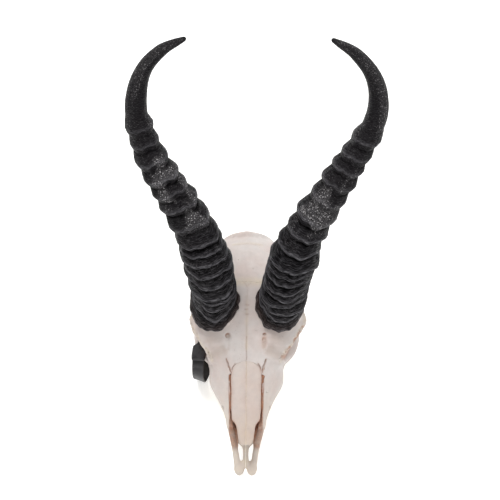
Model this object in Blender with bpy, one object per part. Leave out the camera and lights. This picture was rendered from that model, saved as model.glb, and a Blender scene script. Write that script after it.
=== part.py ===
"""Springbok skull without its lower jaw: bones, cheek teeth, ringed horns and a looped plastic tag.

The skull stands as it rests, on its cheek teeth and on the two paroccipital processes of the
braincase, with the muzzle towards -Y, up +Z and its own left side at +X. Working lengths are
millimetres, measured back from the tip of the muzzle (y = 0) and up from the floor (z = 0).
Each finished node is written in metres, with the origin under the middle of the whole."""

import bmesh
import bpy
import numpy as np
from mathutils import Vector
from mathutils.bvhtree import BVHTree

# Driving dimensions of the skull, in millimetres
CORONAL_Y = 142.0
ORBIT_RADIUS = 15.8
ORBIT_WALL = 3.4
SUTURE_GAP = 0.3
BONE_VOXEL = 1.0
BONE_TRIANGLES = 6000
METRES = 0.001

# Guide lines of the face as (y, x, z), from the top of the midline round the side to the palate
FACE_GUIDES = (
    ((34, 0, 48.5), (50, 0, 55), (64, 0, 60.6), (80, 0, 67), (96, 0, 74.6), (110, 0, 82), (122, 0, 88)),
    (
        (34, 8, 46.5), (50, 11, 53), (64, 12.5, 58.4), (80, 14, 65), (96, 17, 73),
        (110, 18, 80), (122, 18, 86),
    ),
    (
        (34, 13, 41), (50, 16.5, 45), (64, 20.5, 49), (80, 25.5, 54.5), (92, 30, 60),
        (104, 31, 62), (122, 24, 66),
    ),
    (
        (34, 15.7, 33), (50, 18.7, 34), (60, 23.3, 35), (67, 27.2, 35.6), (73, 30.2, 36), (84, 30.4, 37),
        (98, 31.5, 36), (122, 18, 40),
    ),
    (
        (34, 14, 25.5), (50, 18.3, 20.5), (62, 23, 17.5), (80, 28.3, 16.5), (100, 30.3, 17),
        (112, 27, 20), (122, 12, 26),
    ),
    ((34, 9, 22), (50, 13.5, 15.5), (64, 16, 14), (100, 18, 14), (112, 15, 17), (122, 7, 24)),
    ((34, 0, 23), (50, 0, 19.5), (100, 0, 19), (122, 0, 25)),
)
# Guide lines of the frontal roof, from the midline over the orbit's rim to the underside
FRONTAL_GUIDES = (
    ((78, 0, 66), (97, 0, 75.3), (110, 0, 82.3), (124, 0, 89.2), (132, 0, 89.6), (150, 0, 85.5)),
    ((78, 12, 64.5), (97, 14, 75), (110, 15, 81.5), (124, 15, 88.2), (132, 15, 88.4), (150, 15, 83)),
    ((78, 21, 59), (92, 27, 68.5), (106, 29, 77.5), (118, 30, 84), (130, 29, 85.5), (150, 22, 77)),
    (
        (78, 25.5, 53), (83, 29, 59), (88.3, 31.6, 64.6), (91.5, 34, 67.2), (98, 38.6, 69.2),
        (105.3, 42.8, 70.4), (110, 45.5, 70.8), (117, 47, 71.5), (128, 41, 77), (150, 27, 68),
    ),
    (
        (78, 24.5, 49), (83, 28, 54), (88.3, 30.6, 59.5), (91.5, 32.5, 62.2), (98, 37, 64.6),
        (110, 44, 66), (117, 45, 66), (128, 37, 70), (150, 26, 62),
    ),
    ((78, 12, 50), (110, 14, 55), (128, 18, 60), (150, 16, 60)),
    ((78, 0, 48), (150, 0, 55)),
)
# Guide lines of the braincase, from the crown over the widest side to the base
BRAINCASE_GUIDES = (
    (
        (104, 0, 70), (118, 0, 85), (128, 0, 89), (142, 0, 87.8), (165, 0, 81), (180, 0, 74),
        (190, 0, 66), (198, 0, 54), (202, 0, 44),
    ),
    (
        (104, 8, 66), (118, 16, 79), (142, 21, 80), (165, 23.5, 73.5), (180, 22, 66.5),
        (190, 19, 59.5), (198, 13, 50), (202, 7, 42),
    ),
    (
        (104, 11, 52), (118, 20, 58), (132, 26, 60), (150, 31, 57), (165, 31.8, 54),
        (180, 29.5, 50), (190, 25, 46), (198, 17, 41), (202, 9, 37),
    ),
    (
        (104, 9, 38), (118, 14, 40), (150, 25, 37), (165, 28, 34), (180, 27, 32),
        (190, 21, 30), (198, 13, 30), (202, 7, 31),
    ),
    ((104, 6, 28), (118, 7, 27), (150, 10.5, 24), (180, 11, 22.5), (198, 8, 22), (202, 5, 26)),
    ((104, 0, 27), (118, 0, 26), (150, 0, 22.5), (190, 0, 21), (202, 0, 25)),
)
# Guide lines of the nasal cavity under the nasals
CAVITY_GUIDES = (
    ((14, 0, 60), (34, 0, 60), (40, 0, 60), (46, 0, 50.5), (64, 0, 57), (78, 0, 60), (89, 0, 52)),
    ((14, 4.5, 60), (34, 8, 60), (40, 9, 60), (46, 9, 49), (64, 11, 55), (78, 9, 58), (89, 4, 50)),
    ((14, 5.6, 40), (34, 9.8, 42), (46, 13, 43), (64, 16, 47), (78, 14, 50), (89, 5, 46)),
    ((14, 5.6, 30), (34, 9.8, 31), (46, 12.8, 33), (64, 16, 35), (78, 14, 38), (89, 5, 42)),
    ((14, 4.5, 23), (34, 7, 25), (64, 10, 26), (78, 8, 30), (89, 3, 40)),
    ((14, 0, 22), (34, 0, 24.5), (64, 0, 25), (78, 0, 29), (89, 0, 39)),
)
# Bars and ridges of the left side: (line of (x, y, z), widths across, heights, way of the height)
TUBES = {
    "behind_eye": (
        ((45, 113, 69.5), (44.2, 116.5, 60), (41.8, 117.5, 47), (41, 116.5, 35)),
        (5.5, 4.6, 5), (7, 5.6, 7), (0, 1, 0),
    ),
    "under_eye": (
        (
            (28.5, 85, 38), (30.2, 91, 32.5), (34.8, 96, 30.6), (39.4, 102.5, 30),
            (41.6, 110, 31.4), (41.6, 118, 34),
        ),
        (5.4, 5, 4.6), (6.4, 6, 7), (0, 0, 1),
    ),
    "arch": (
        (
            (40.6, 108, 32), (41.6, 120, 34), (41.4, 130, 37), (39.6, 140, 39.6),
            (35.6, 149, 41.2), (28, 156, 42),
        ),
        (4, 3.4, 3.4, 4, 7), (8, 7.4, 7, 7, 9), (0, 0, 1),
    ),
    "temple_ridge": (
        ((30, 154, 42), (30.5, 164, 43), (29.5, 176, 44), (25, 187, 46)),
        (5, 4), (5, 4), (0, 0, 1),
    ),
    "nape_crest": (
        ((0, 194, 63), (14, 192.5, 59), (23.5, 188, 50), (26.5, 185, 40), (24, 187, 32)),
        (6, 5, 5), (6, 5, 5), (0, 1, 0),
    ),
    "ear_tube": (((22, 160, 33), (28, 161, 35), (34, 162.5, 37.5)), (9, 8, 7.4), (9, 8, 7.4), (0, 1, 0)),
    "side_of_neck_hole": (((14, 190, 26), (20, 187, 28), (24, 182, 32)), (14, 10), (12, 12), (0, 0, 1)),
    "paroccipital": (
        ((22, 186, 36), (22.5, 187.5, 22), (22.6, 190, 10), (22, 192, -3)),
        (5, 4.6, 3.8, 3.4), (12, 10.5, 8, 5), (0, 1, 0),
    ),
    "wing_of_palate": (
        ((13, 96, 20), (11, 106, 20), (9, 118, 21), (8, 130, 23)),
        (3.2, 2.8, 2.8), (14, 15, 9), (0, 0, 1),
    ),
    "premaxilla_side": (
        (
            (5.8, 3.5, 13.6), (6.9, 9, 15.2), (8.5, 19, 19.2), (10.7, 29, 25), (12.9, 38, 30),
            (14.2, 47, 35),
        ),
        (5.4, 5.2, 5.8, 6.6), (5.0, 5.6, 9, 13), (0, 0, 1),
    ),
    "premaxilla_bar": (
        (
            (1.15, 6, 13), (1.0, 14, 14.5), (1.1, 21.5, 16.2), (4.6, 29.5, 18.4), (5.6, 38, 20.5),
            (6, 47, 22),
        ),
        (3, 2.8, 3.4, 9.6, 13, 16), (4, 4, 4, 4, 5), (0, 0, 1),
    ),
}
# Knobs of the left side: (middle, radii)
BALLS = {
    "bulla": ((17, 165, 18), (8.2, 12.5, 10.2)),
    "condyle": ((9.6, 199.5, 25), (7.2, 6.4, 9.2)),
    "base_knob": ((5.6, 172, 20), (4, 7, 4)),
    "premaxilla_tip": ((5.2, 5.6, 13.4), (4.6, 6.6, 2.9)),
}

# Holes on the midline and on the left side, in the same order as the bars
MIDDLE_HOLES = {
    "choana": (
        ((0, 97, 13), (0, 104, 18), (0, 114, 19), (0, 132, 15)),
        (9, 13, 12, 10), (10, 16, 14, 10), (0, 0, 1),
    ),
    "neck_hole": (((0, 212, 33), (0, 200, 34), (0, 180, 38)), (19, 17, 8), (18, 16, 8), (0, 0, 1)),
}
SIDE_HOLES = {
    "ear_hole": (((40, 164.5, 40), (33, 162, 37), (25, 160, 34)), (4.6, 4, 2), (4.6, 4, 2), (0, 0, 1)),
    "brow_hole": (
        ((14.2, 96.4, 82), (14.4, 98.4, 76), (15.6, 103, 70)),
        (3.6, 3.4, 1.6), (5.4, 4.6, 2), (0, -1, 0),
    ),
    "cheek_hole": (((26, 46, 36), (18, 52, 34), (14, 60, 32)), (4, 3.4, 1.6), (5, 4.4, 2), (0, 0, 1)),
}

# Orbit: the rim's middle on the left side, and the way that the opening faces
ORBIT_CENTRE = (36.6, 102.0, 50.0)
ORBIT_FACING = (0.916, -0.402, 0.0)
# Sections of the way from the orbit to the temple: (y, middle x, half width, middle z, half height)
ORBIT_BACK = (
    (102, 24, 7, 50, 13), (108, 25, 10, 48, 17), (112, 26, 11, 46, 20),
    (117, 28, 10, 44.5, 21.5), (122, 29.5, 8.6, 44.5, 21.5), (130, 32, 7, 44, 20),
)

# Half outline of the nasals in plan, as (y, x), from the tip to the frontal
NASAL_EDGE = (
    (18.2, 3.4), (20, 5), (28, 7), (33.5, 8.3), (37.5, 11.2), (42, 11.8), (60, 12.2), (71, 12.4),
    (75.4, 9.5), (79, 5), (80.4, 0.2),
)
NASAL_THICK = 2.6
NASAL_ROWS = 24
# Half outline of the opening that the nasals lie in, as (y, x)
NASAL_BED = (
    (10, 14.2), (20, 14.2), (33, 14.2), (40, 13.6), (55, 14.1), (68, 14.5), (71.5, 13.4),
    (74.5, 11.0), (77.3, 8.0), (79.6, 5.0), (80.6, 2.6), (81.0, 0.5),
)

# Sutures in side view, as (y, z)
ROOF_SUTURE = ((60, 86), (81.0, 66.6), (88, 56), (96, 46.5), (108, 44), (126, 43.6))
CORONAL_SUTURE = ((150, 112), (CORONAL_Y, 88), (133, 62), (126, 43.6), (119, 39), (118, -10))
MUZZLE_SUTURE = ((30, -10), (33, 18), (42, 32), (47, 44), (47.5, 60))
CHEEK_SUTURE = ((86.5, 58.6), (86.5, 42), (94, 27), (108, 21), (126, 19))
CHEEK_INNER_X = 27.0
TEMPLE_SUTURE = ((126, 52), (131, 40), (138, 34), (142, 20))

# Cheek teeth from P2 to M3: (length, breadth, lobes)
TEETH = ((7.0, 6.2, 1), (8.6, 8.0, 1), (8.8, 9.6, 1), (11.2, 11.4, 2), (13.0, 12.0, 2), (14.0, 11.0, 2))
TOOTH_ROW_START = 51.0
TOOTH_SIDES = 12
TOOTH_ROW_X = ((50, 14.6), (62, 17.6), (76, 21.2), (92, 23.2), (112, 23.2))

# Left horn: centre line from its base to its tip, and its sizes across and fore and aft
HORN_LINE = (
    (27.0, 123.4, 86.27), (32.8, 140.6, 132.4), (38.5, 151.7, 149.8), (52.1, 169.0, 174.0),
    (72.0, 191.4, 203.6), (81.1, 204.0, 218.4), (88.6, 218.4, 236.1), (88.3, 228.5, 248.8),
    (82.9, 237.0, 265.1), (70.3, 243.1, 282.7), (51.5, 244.0, 301.4),
)
HORN_BREADTH = (
    (0, 37.6), (50, 34.4), (72, 32.0), (104, 27.6), (120, 25.6), (146, 22.8), (168, 20.2),
    (192, 17.2), (208, 15.2), (227, 12.0), (250, 9.4), (266, 6.2), (276, 3.2),
)
HORN_DEPTH_RATIO = ((0, 0.87), (14, 0.95), (40, 1.02), (120, 1.02), (276, 1.0))
HORN_BASE_NORMAL = (0.0, -0.286, 0.958)
HORN_SWAY = (1.0, 6.0)
HORN_SET_BACK = (2.4, 1.0)
RING_COUNT = 15
RING_START = 3.0
RING_FIRST, RING_LAST = 5.4, 15.0
RING_WIDENS = (3.5, 5.0)
RING_CREST = 0.24
RING_RISE = 2.2
RING_LEAN_BASE, RING_LEAN_HIGH, RING_LEAN_REACH = 0.80, 0.18, 26.0
RING_SIDE_LEAN = 0.2
RING_SIDES = 18
TIP_ROWS = 13
BASE_LIFT = 0.45

# Tag: a plastic band looped round the right cheek bone, as (x, y, z) and the way of its width
BAND_WIDTH = 9.5
BAND_THICK = 1.2
BAND_LINE = (
    (-39.0, 97.0, 44.5, 1.0, -0.1, 0.0), (-40.0, 89.5, 42.5, 1.0, -0.15, 0.0),
    (-40.2, 83.0, 40.0, 1.0, -0.2, 0.0), (-40.2, 79.2, 34.0, 1.0, -0.25, 0.0),
    (-40.0, 79.0, 24.0, 1.0, -0.3, 0.0), (-39.6, 81.5, 12.0, 1.0, -0.36, 0.0),
    (-38.6, 84.4, 4.6, 1.0, -0.4, 0.0), (-37.0, 88.0, 3.4, 1.0, -0.3, -0.2),
    (-34.5, 93.5, 6.8, 0.9, 0.0, -0.42), (-33.2, 100.5, 10.6, 0.8, 0.0, -0.6),
    (-32.6, 109.0, 14.0, 0.75, 0.0, -0.66), (-32.0, 116.5, 19.0, 0.9, 0.0, -0.4),
    (-31.0, 119.8, 28.0, 1.0, 0.0, 0.0), (-31.0, 117.0, 36.0, 1.0, 0.0, 0.0),
    (-32.6, 110.0, 40.6, 1.0, 0.0, 0.0), (-36.0, 103.0, 43.4, 1.0, -0.05, 0.0),
)
LOCK_MIDDLE = (-39.6, 94.8, 47.6)
LOCK_SIZE = (11.0, 14.5, 4.6)
LOCK_WAY = (0.06, 0.95, 0.27)

BONE_COLOUR = (0.66, 0.60, 0.56)
HORN_COLOUR = (0.024, 0.022, 0.024)
TAG_COLOUR = (0.028, 0.027, 0.030)


def hermite(knots, values, t):
    """Smooth values at t between knots, with slopes from the neighbouring knots."""
    knots = np.asarray(knots, float)
    values = np.asarray(values, float)
    slopes = np.gradient(values, knots, axis=0)
    t = np.clip(t, knots[0], knots[-1])
    i = np.clip(np.searchsorted(knots, t, side="right") - 1, 0, len(knots) - 2)
    step = knots[i + 1] - knots[i]
    u = (t - knots[i]) / step
    if values.ndim > 1:
        u, step = u[:, None], step[:, None]
    a = values[i] * (2 * u**3 - 3 * u**2 + 1) + values[i + 1] * (3 * u**2 - 2 * u**3)
    return a + step * (slopes[i] * (u**3 - 2 * u**2 + u) + slopes[i + 1] * (u**3 - u**2))


def smooth_line(points, count):
    """Evenly spaced points on a smooth curve through the given ones."""
    points = np.array(points, float)
    knots = np.concatenate([[0], np.cumsum(np.linalg.norm(np.diff(points, axis=0), axis=1))])
    return hermite(knots, points, np.linspace(0, knots[-1], count))


def closed_curve(corners, per_side):
    """Closed Catmull-Rom curves through rows of corners, an array of (rows, corners, 3)."""
    u = np.linspace(0, 1, per_side, endpoint=False)[None, None, :, None]
    p0, p1, p2, p3 = (np.roll(corners, 1 - k, axis=1)[:, :, None, :] for k in range(4))
    curve = p1 + 0.5 * u * (p2 - p0 + u * (2 * p0 - 5 * p1 + 4 * p2 - p3 + u * (3 * (p1 - p2) + p3 - p0)))
    return curve.reshape(len(corners), -1, 3)


def new_object(name, vertices, faces):
    mesh = bpy.data.meshes.new(name)
    mesh.from_pydata([tuple(v) for v in vertices], [], [tuple(f) for f in faces])
    obj = bpy.data.objects.new(name, mesh)
    bpy.context.scene.collection.objects.link(obj)
    face_outwards(obj)
    return obj


def face_outwards(obj):
    bm = bmesh.new()
    bm.from_mesh(obj.data)
    bmesh.ops.recalc_face_normals(bm, faces=bm.faces)
    if bm.calc_volume(signed=True) < 0:
        bmesh.ops.reverse_faces(bm, faces=bm.faces)
    bm.to_mesh(obj.data)
    bm.free()


def skin(name, rings):
    """A closed body through rows of rings, an array of (rows, points, 3), with fans at both ends."""
    rows, points, _ = rings.shape
    vertices = np.concatenate([rings.reshape(-1, 3), rings[0].mean(0)[None], rings[-1].mean(0)[None]])
    faces = []
    for r in range(rows - 1):
        for k in range(points):
            j = (k + 1) % points
            faces.append((r * points + k, r * points + j, (r + 1) * points + j, (r + 1) * points + k))
    first, last = rows * points, rows * points + 1
    for k in range(points):
        j = (k + 1) % points
        faces.append((first, j, k))
        faces.append((last, (rows - 1) * points + k, (rows - 1) * points + j))
    return new_object(name, vertices, faces)


def guided_body(name, guides, step=3.0, per_side=5):
    """A body symmetric about x = 0 whose sections pass through guide lines, top to bottom."""
    start, end = guides[0][0][0], guides[0][-1][0]
    y = np.linspace(start, end, int((end - start) / step) + 1)
    half = []
    for guide in guides:
        g = np.array(guide, float)
        xz = hermite(g[:, 0], g[:, 1:], y)
        half.append(np.stack([xz[:, 0], y, xz[:, 1]], axis=1))
    other = [p * (-1, 1, 1) for p in half[-2:0:-1]]
    return skin(name, closed_curve(np.stack(half + other, axis=1), per_side))


def tube(name, points, widths, heights, up=(0, 0, 1), sides=14, rows=24):
    """A body of oval sections along a smooth line; heights run towards up, widths across it."""
    line = smooth_line(points, rows)
    way = np.gradient(line, axis=0)
    way /= np.linalg.norm(way, axis=1)[:, None]
    rise = np.array(up, float) - (way @ np.array(up, float))[:, None] * way
    rise /= np.linalg.norm(rise, axis=1)[:, None]
    across = np.cross(way, rise)
    at = np.linspace(0, 1, rows)
    wide = np.interp(at, np.linspace(0, 1, len(widths)), widths) / 2
    high = np.interp(at, np.linspace(0, 1, len(heights)), heights) / 2
    angle = np.linspace(0, 2 * np.pi, sides, endpoint=False)
    rings = line[:, None] + across[:, None] * (wide[:, None] * np.cos(angle))[..., None]
    rings = rings + rise[:, None] * (high[:, None] * np.sin(angle))[..., None]
    return skin(name, rings)


def ball(name, centre, radii, rows=10, sides=18):
    angle = np.linspace(0, 2 * np.pi, sides, endpoint=False)
    turn = np.linspace(0.02, np.pi - 0.02, rows)
    rings = np.stack([
        np.sin(turn)[:, None] * np.cos(angle) * radii[0] + centre[0],
        np.sin(turn)[:, None] * np.sin(angle) * radii[1] + centre[1],
        np.repeat(np.cos(turn)[:, None] * radii[2] + centre[2], sides, axis=1),
    ], axis=-1)
    return skin(name, rings)


def cone(name, centre, way, stops, radii, sink=(0, 0, 0), sides=28):
    """Round sections across a straight axis; sink moves the last section's middle."""
    way = np.array(way, float) / np.linalg.norm(way)
    across = np.cross(way, (0, 0, 1.0))
    across /= np.linalg.norm(across)
    rise = np.cross(across, way)
    angle = np.linspace(0, 2 * np.pi, sides, endpoint=False)
    stops = np.array(stops, float)
    part = (stops[0] - stops) / (stops[0] - stops[-1])
    middle = np.array(centre) + way * stops[:, None] + np.array(sink) * (part**2)[:, None]
    spoke = across * np.cos(angle)[:, None] + rise * np.sin(angle)[:, None]
    return skin(name, middle[:, None] + np.array(radii, float)[:, None, None] * spoke)


def sheet(name, profile, x_from, x_to, thick=SUTURE_GAP):
    """A thin wall along a (y, z) profile, from x_from to x_to."""
    line = np.array(profile, float)
    way = np.gradient(line, axis=0)
    side = np.stack([-way[:, 1], way[:, 0]], axis=1)
    side *= thick / 2 / np.linalg.norm(side, axis=1)[:, None]
    outline = np.concatenate([line + side, (line - side)[::-1]])
    return prism(name, outline, x_from, x_to)


def prism(name, outline, x_from, x_to):
    """A (y, z) outline carried from x_from to x_to."""
    outline = np.array(outline, float)
    n = len(outline)
    ends = [np.column_stack([np.full(n, x), outline]) for x in (x_from, x_to)]
    faces = [tuple(range(n)), tuple(range(2 * n - 1, n - 1, -1))]
    faces += [(k, k + n, (k + 1) % n + n, (k + 1) % n) for k in range(n)]
    return new_object(name, np.concatenate(ends), faces)


def mirrored(obj):
    """A copy on the other side of the midline."""
    copy = bpy.data.objects.new(obj.name + "_other", obj.data.copy())
    bpy.context.scene.collection.objects.link(copy)
    copy.data.transform(((-1, 0, 0, 0), (0, 1, 0, 0), (0, 0, 1, 0), (0, 0, 0, 1)))
    face_outwards(copy)
    return copy


def pair(obj):
    return [obj, mirrored(obj)]


def remove(objects):
    for obj in objects:
        bpy.data.objects.remove(obj)


def evaluate(obj):
    """Applies the object's modifiers."""
    graph = bpy.context.evaluated_depsgraph_get()
    mesh = bpy.data.meshes.new_from_object(obj.evaluated_get(graph))
    obj.modifiers.clear()
    obj.data = mesh


def join(name, objects):
    bm = bmesh.new()
    for obj in objects:
        bm.from_mesh(obj.data)
    mesh = bpy.data.meshes.new(name)
    bm.to_mesh(mesh)
    bm.free()
    joined = bpy.data.objects.new(name, mesh)
    bpy.context.scene.collection.objects.link(joined)
    remove(objects)
    return joined


def blend(body, rounds):
    """Makes one smooth surface of a body, or of several that overlap in one mesh."""
    remesh = body.modifiers.new("Remesh", "REMESH")
    remesh.mode = "VOXEL"
    remesh.voxel_size = BONE_VOXEL
    ease = body.modifiers.new("Smooth", "SMOOTH")
    ease.factor = 0.5
    ease.iterations = rounds
    evaluate(body)


def boolean(body, tools, operation, solver="MANIFOLD"):
    for tool in tools:
        step = body.modifiers.new("Boolean", "BOOLEAN")
        step.operation = operation
        step.solver = solver
        step.object = tool
        evaluate(body)
    remove(tools)


def thin_out(body, triangles):
    count = sum(len(p.vertices) - 2 for p in body.data.polygons)
    step = body.modifiers.new("Decimate", "DECIMATE")
    step.ratio = triangles / count
    step.use_collapse_triangulate = True
    evaluate(body)


def loose_parts(body, smallest=40.0):
    """Splits a body into its closed surfaces, without scraps under smallest cubic millimetres."""
    bm = bmesh.new()
    bm.from_mesh(body.data)
    bmesh.ops.triangulate(bm, faces=bm.faces)
    bm.verts.ensure_lookup_table()
    seen, parts = set(), []
    for start in bm.verts:
        if start.index in seen:
            continue
        stack, group = [start], set()
        while stack:
            v = stack.pop()
            if v.index in group:
                continue
            group.add(v.index)
            stack.extend(e.other_vert(v) for e in v.link_edges)
        seen |= group
        order = sorted(group)
        number = {index: k for k, index in enumerate(order)}
        faces = [[number[v.index] for v in f.verts] for f in bm.faces if f.verts[0].index in group]
        points = [tuple(bm.verts[index].co) for index in order]
        parts.append((points, faces))
    bm.free()
    kept = []
    for points, faces in parts:
        p = np.array(points)
        tri = p[np.array(faces)]
        volume = np.einsum("ij,ij->i", tri[:, 0], np.cross(tri[:, 1], tri[:, 2])).sum() / 6
        if volume > smallest:
            kept.append((volume, points, faces))
    return sorted(kept, key=lambda item: -item[0])


def name_parts(body, seeds):
    """Keeps, for each named seed point, the closed part that it lies nearest to."""
    parts = loose_parts(body)
    trees = [BVHTree.FromPolygons(points, faces) for _, points, faces in parts]
    nodes = {}
    for name, seed in seeds.items():
        distance = [tree.find_nearest(Vector(seed))[3] for tree in trees]
        best = int(np.argmin(distance))
        _, points, faces = parts[best]
        nodes[name] = new_object(name, points, faces)
    remove([body])
    return nodes


def rim_ring():
    """The raised rim of the orbit: a round bead in the plane of the opening."""
    way = np.array(ORBIT_FACING) / np.linalg.norm(ORBIT_FACING)
    across = np.cross(way, (0, 0, 1.0))
    across /= np.linalg.norm(across)
    rise = np.cross(across, way)
    angle = np.linspace(0, 2 * np.pi, 40, endpoint=False)
    turn = np.linspace(0, 2 * np.pi, 10, endpoint=False)
    radius = ORBIT_RADIUS + ORBIT_WALL / 2
    spoke = across * np.cos(angle)[:, None] + rise * np.sin(angle)[:, None]
    bead = (ORBIT_WALL / 2 + 0.3) * (spoke[:, None] * np.cos(turn)[:, None] + way * np.sin(turn)[:, None])
    grid = np.array(ORBIT_CENTRE) + radius * spoke[:, None] + bead
    rows, sides, _ = grid.shape
    faces = []
    for r in range(rows):
        for k in range(sides):
            a, b = (r + 1) % rows, (k + 1) % sides
            faces.append((r * sides + k, r * sides + b, a * sides + b, a * sides + k))
    return new_object("rim", grid.reshape(-1, 3), faces)


def orbit_cup():
    reach = ORBIT_RADIUS + ORBIT_WALL
    radii = (reach - 0.6, reach + 0.6, reach + 2, reach + 1)
    return cone("cup", ORBIT_CENTRE, ORBIT_FACING, (0.4, -8, -16, -25), radii)


def orbit_hollow():
    r = ORBIT_RADIUS
    stops = (14, 6, 0, -8, -16, -22, -27, -30)
    radii = (r + 7, r + 2.6, r, r - 0.3, r - 2.2, r - 5, r - 9, r - 13)
    return cone("orbit", ORBIT_CENTRE, ORBIT_FACING, stops, radii, sink=(0, 3.0, -1.0))


def orbit_back():
    """The way from the orbit to the temple, inside the bar behind the eye."""
    angle = np.linspace(0, 2 * np.pi, 20, endpoint=False)
    wide = np.sign(np.cos(angle)) * np.abs(np.cos(angle)) ** 0.7
    high = np.sign(np.sin(angle)) * np.abs(np.sin(angle)) ** 0.7
    rings = [
        np.column_stack([x + a * wide, np.full(20, y), z + b * high])
        for y, x, a, z, b in ORBIT_BACK
    ]
    return skin("orbit_back", np.array(rings, float))


def pedicle():
    """The short neck of bone under a horn, cut off at the horn's base."""
    base = np.array(HORN_LINE[0])
    way = np.array(HORN_LINE[1]) - base
    way /= np.linalg.norm(way)
    line = [base - way * 12, base - way * 4, base + way * 22]
    return tube("pedicle", line, (38, 35.5, 34.5), (36, 31.4, 30), up=(0, -1, 0), sides=24, rows=6)


def skull_body():
    """All the bones as one smooth body, before the sutures part them."""
    bodies = [guided_body("face", FACE_GUIDES)]
    bodies.append(guided_body("frontal_roof", FRONTAL_GUIDES))
    bodies.append(guided_body("braincase_shell", BRAINCASE_GUIDES))
    paired = [orbit_cup(), rim_ring(), pedicle()]
    paired += [tube(name, *sizes[:3], up=sizes[3]) for name, sizes in TUBES.items()]
    paired += [ball(name, centre, radii) for name, (centre, radii) in BALLS.items()]
    for obj in paired:
        bodies += pair(obj)
    body = join("skull", bodies)
    blend(body, 6)
    return body


def nasal_z(x, y):
    """Height of the nasals' upper surface."""
    top = hermite((17, 34, 50, 64, 80, 96), (41.3, 48.8, 55.3, 60.9, 67.2, 74.8), np.asarray(y, float))
    return top - np.asarray(x) ** 2 * 0.014


def nasal_rows():
    edge = smooth_line([(y, x, 0) for y, x in NASAL_EDGE], NASAL_ROWS)[:, :2]
    return edge[:, 0], np.maximum(edge[:, 1], 0.6)


def nasal_bone():
    """The left nasal: a curved plate from the midline out to NASAL_EDGE."""
    y, half = nasal_rows()
    inner = SUTURE_GAP / 2
    across = np.array([0, 0.25, 0.5, 0.75, 1.0])
    x = inner + (np.maximum(half, inner + 0.8) - inner)[:, None] * across
    yy = np.repeat(y[:, None], len(across), axis=1)
    upper = np.stack([x, yy, nasal_z(x, yy)], axis=-1)
    lower = np.stack([x, yy, nasal_z(x, yy) - NASAL_THICK], axis=-1)[:, ::-1]
    return skin("nasal_left", np.concatenate([upper, lower], axis=1))


def nasal_bed():
    """What the nasals and the slits beside them take out of the face, open to the cavity."""
    y, x = np.array(NASAL_BED).T
    outline = np.concatenate([np.column_stack([x, y]), np.column_stack([-x, y])[::-1]])
    n = len(outline)
    top = np.column_stack([outline, np.full(n, 95.0)])
    floor = nasal_z(outline[:, 0] * 0, outline[:, 1]) - NASAL_THICK - 6
    bottom = np.column_stack([outline, floor])
    faces = [(k, k + n, (k + 1) % n + n, (k + 1) % n) for k in range(n)]
    half = n // 2
    for shift in (0, n):
        for k in range(half - 1):
            quad = (k, k + 1, n - 2 - k, n - 1 - k)
            faces.append(tuple(v + shift for v in quad))
    return new_object("nasal_bed", np.concatenate([top, bottom]), faces)


def carve(body):
    """Opens the orbits, the nose, the palate, the ear and the neck hole."""
    boolean(body, pair(orbit_hollow()), "DIFFERENCE")
    boolean(body, pair(orbit_back()), "DIFFERENCE")
    boolean(body, [guided_body("cavity", CAVITY_GUIDES), nasal_bed()], "DIFFERENCE")
    for name, (line, widths, heights, up) in MIDDLE_HOLES.items():
        boolean(body, [tube(name, line, widths, heights, up=up)], "DIFFERENCE")
    for name, (line, widths, heights, up) in SIDE_HOLES.items():
        boolean(body, pair(tube(name, line, widths, heights, up=up, rows=8)), "DIFFERENCE")


def trim(body):
    """Cuts the feet flat at the floor, and each pedicle flat just under the base of its horn."""
    below = prism("below_floor", ((-20, -30), (230, -30), (230, 0), (-20, 0)), -80, 80)
    boolean(body, [below], "DIFFERENCE")
    for side in (1, -1):
        base = np.array(HORN_LINE[0]) * (side, 1, 1)
        normal = np.array(HORN_BASE_NORMAL)
        fore = np.array((0, normal[2], -normal[1]))
        across = np.array((1.0, 0, 0))
        low = base - normal * SUTURE_GAP
        corners = []
        for lift in (0, 40):
            for a, b in ((-1, -1), (1, -1), (1, 1), (-1, 1)):
                corners.append(low + normal * lift + across * 26 * a + fore * 34 * b)
        faces = [(0, 3, 2, 1), (4, 5, 6, 7), (0, 1, 5, 4), (1, 2, 6, 5), (2, 3, 7, 6), (3, 0, 4, 7)]
        boolean(body, [new_object("pedicle_cut", corners, faces)], "DIFFERENCE")


def part_bones(body):
    """Cuts the sutures, each a gap of SUTURE_GAP, and names the bones that they leave."""
    cuts = [sheet("roof_suture", ROOF_SUTURE, -60, 60)]
    cuts.append(sheet("coronal_suture", CORONAL_SUTURE, -37, 37))
    face_half = ((-10, -10),) + CORONAL_SUTURE[:-4:-1] + ROOF_SUTURE[::-1] + ((-10, 86),)
    cuts.append(prism("midline", face_half, -SUTURE_GAP / 2, SUTURE_GAP / 2))
    cheek_half = CHEEK_SUTURE + ROOF_SUTURE[::-1][:5]
    for side in (1, -1):
        cuts.append(sheet("muzzle_suture", MUZZLE_SUTURE, 0.1 * side, 24 * side))
        cuts.append(sheet("cheek_suture", CHEEK_SUTURE, CHEEK_INNER_X * side, 56 * side))
        cuts.append(sheet("temple_suture", TEMPLE_SUTURE, 31 * side, 56 * side))
        x = CHEEK_INNER_X * side
        cuts.append(prism("cheek_inner", cheek_half, x - SUTURE_GAP / 2, x + SUTURE_GAP / 2))
    boolean(body, cuts, "DIFFERENCE")
    seeds = {"braincase": (0, 165, 60), "frontal": (0, 110, 70)}
    for side, word in ((1, "left"), (-1, "right")):
        seeds["maxilla_" + word] = (22 * side, 75, 25)
        seeds["premaxilla_" + word] = (10 * side, 17, 20)
        seeds["zygomatic_" + word] = (40 * side, 104, 30.5)
    return name_parts(body, seeds)


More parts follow.
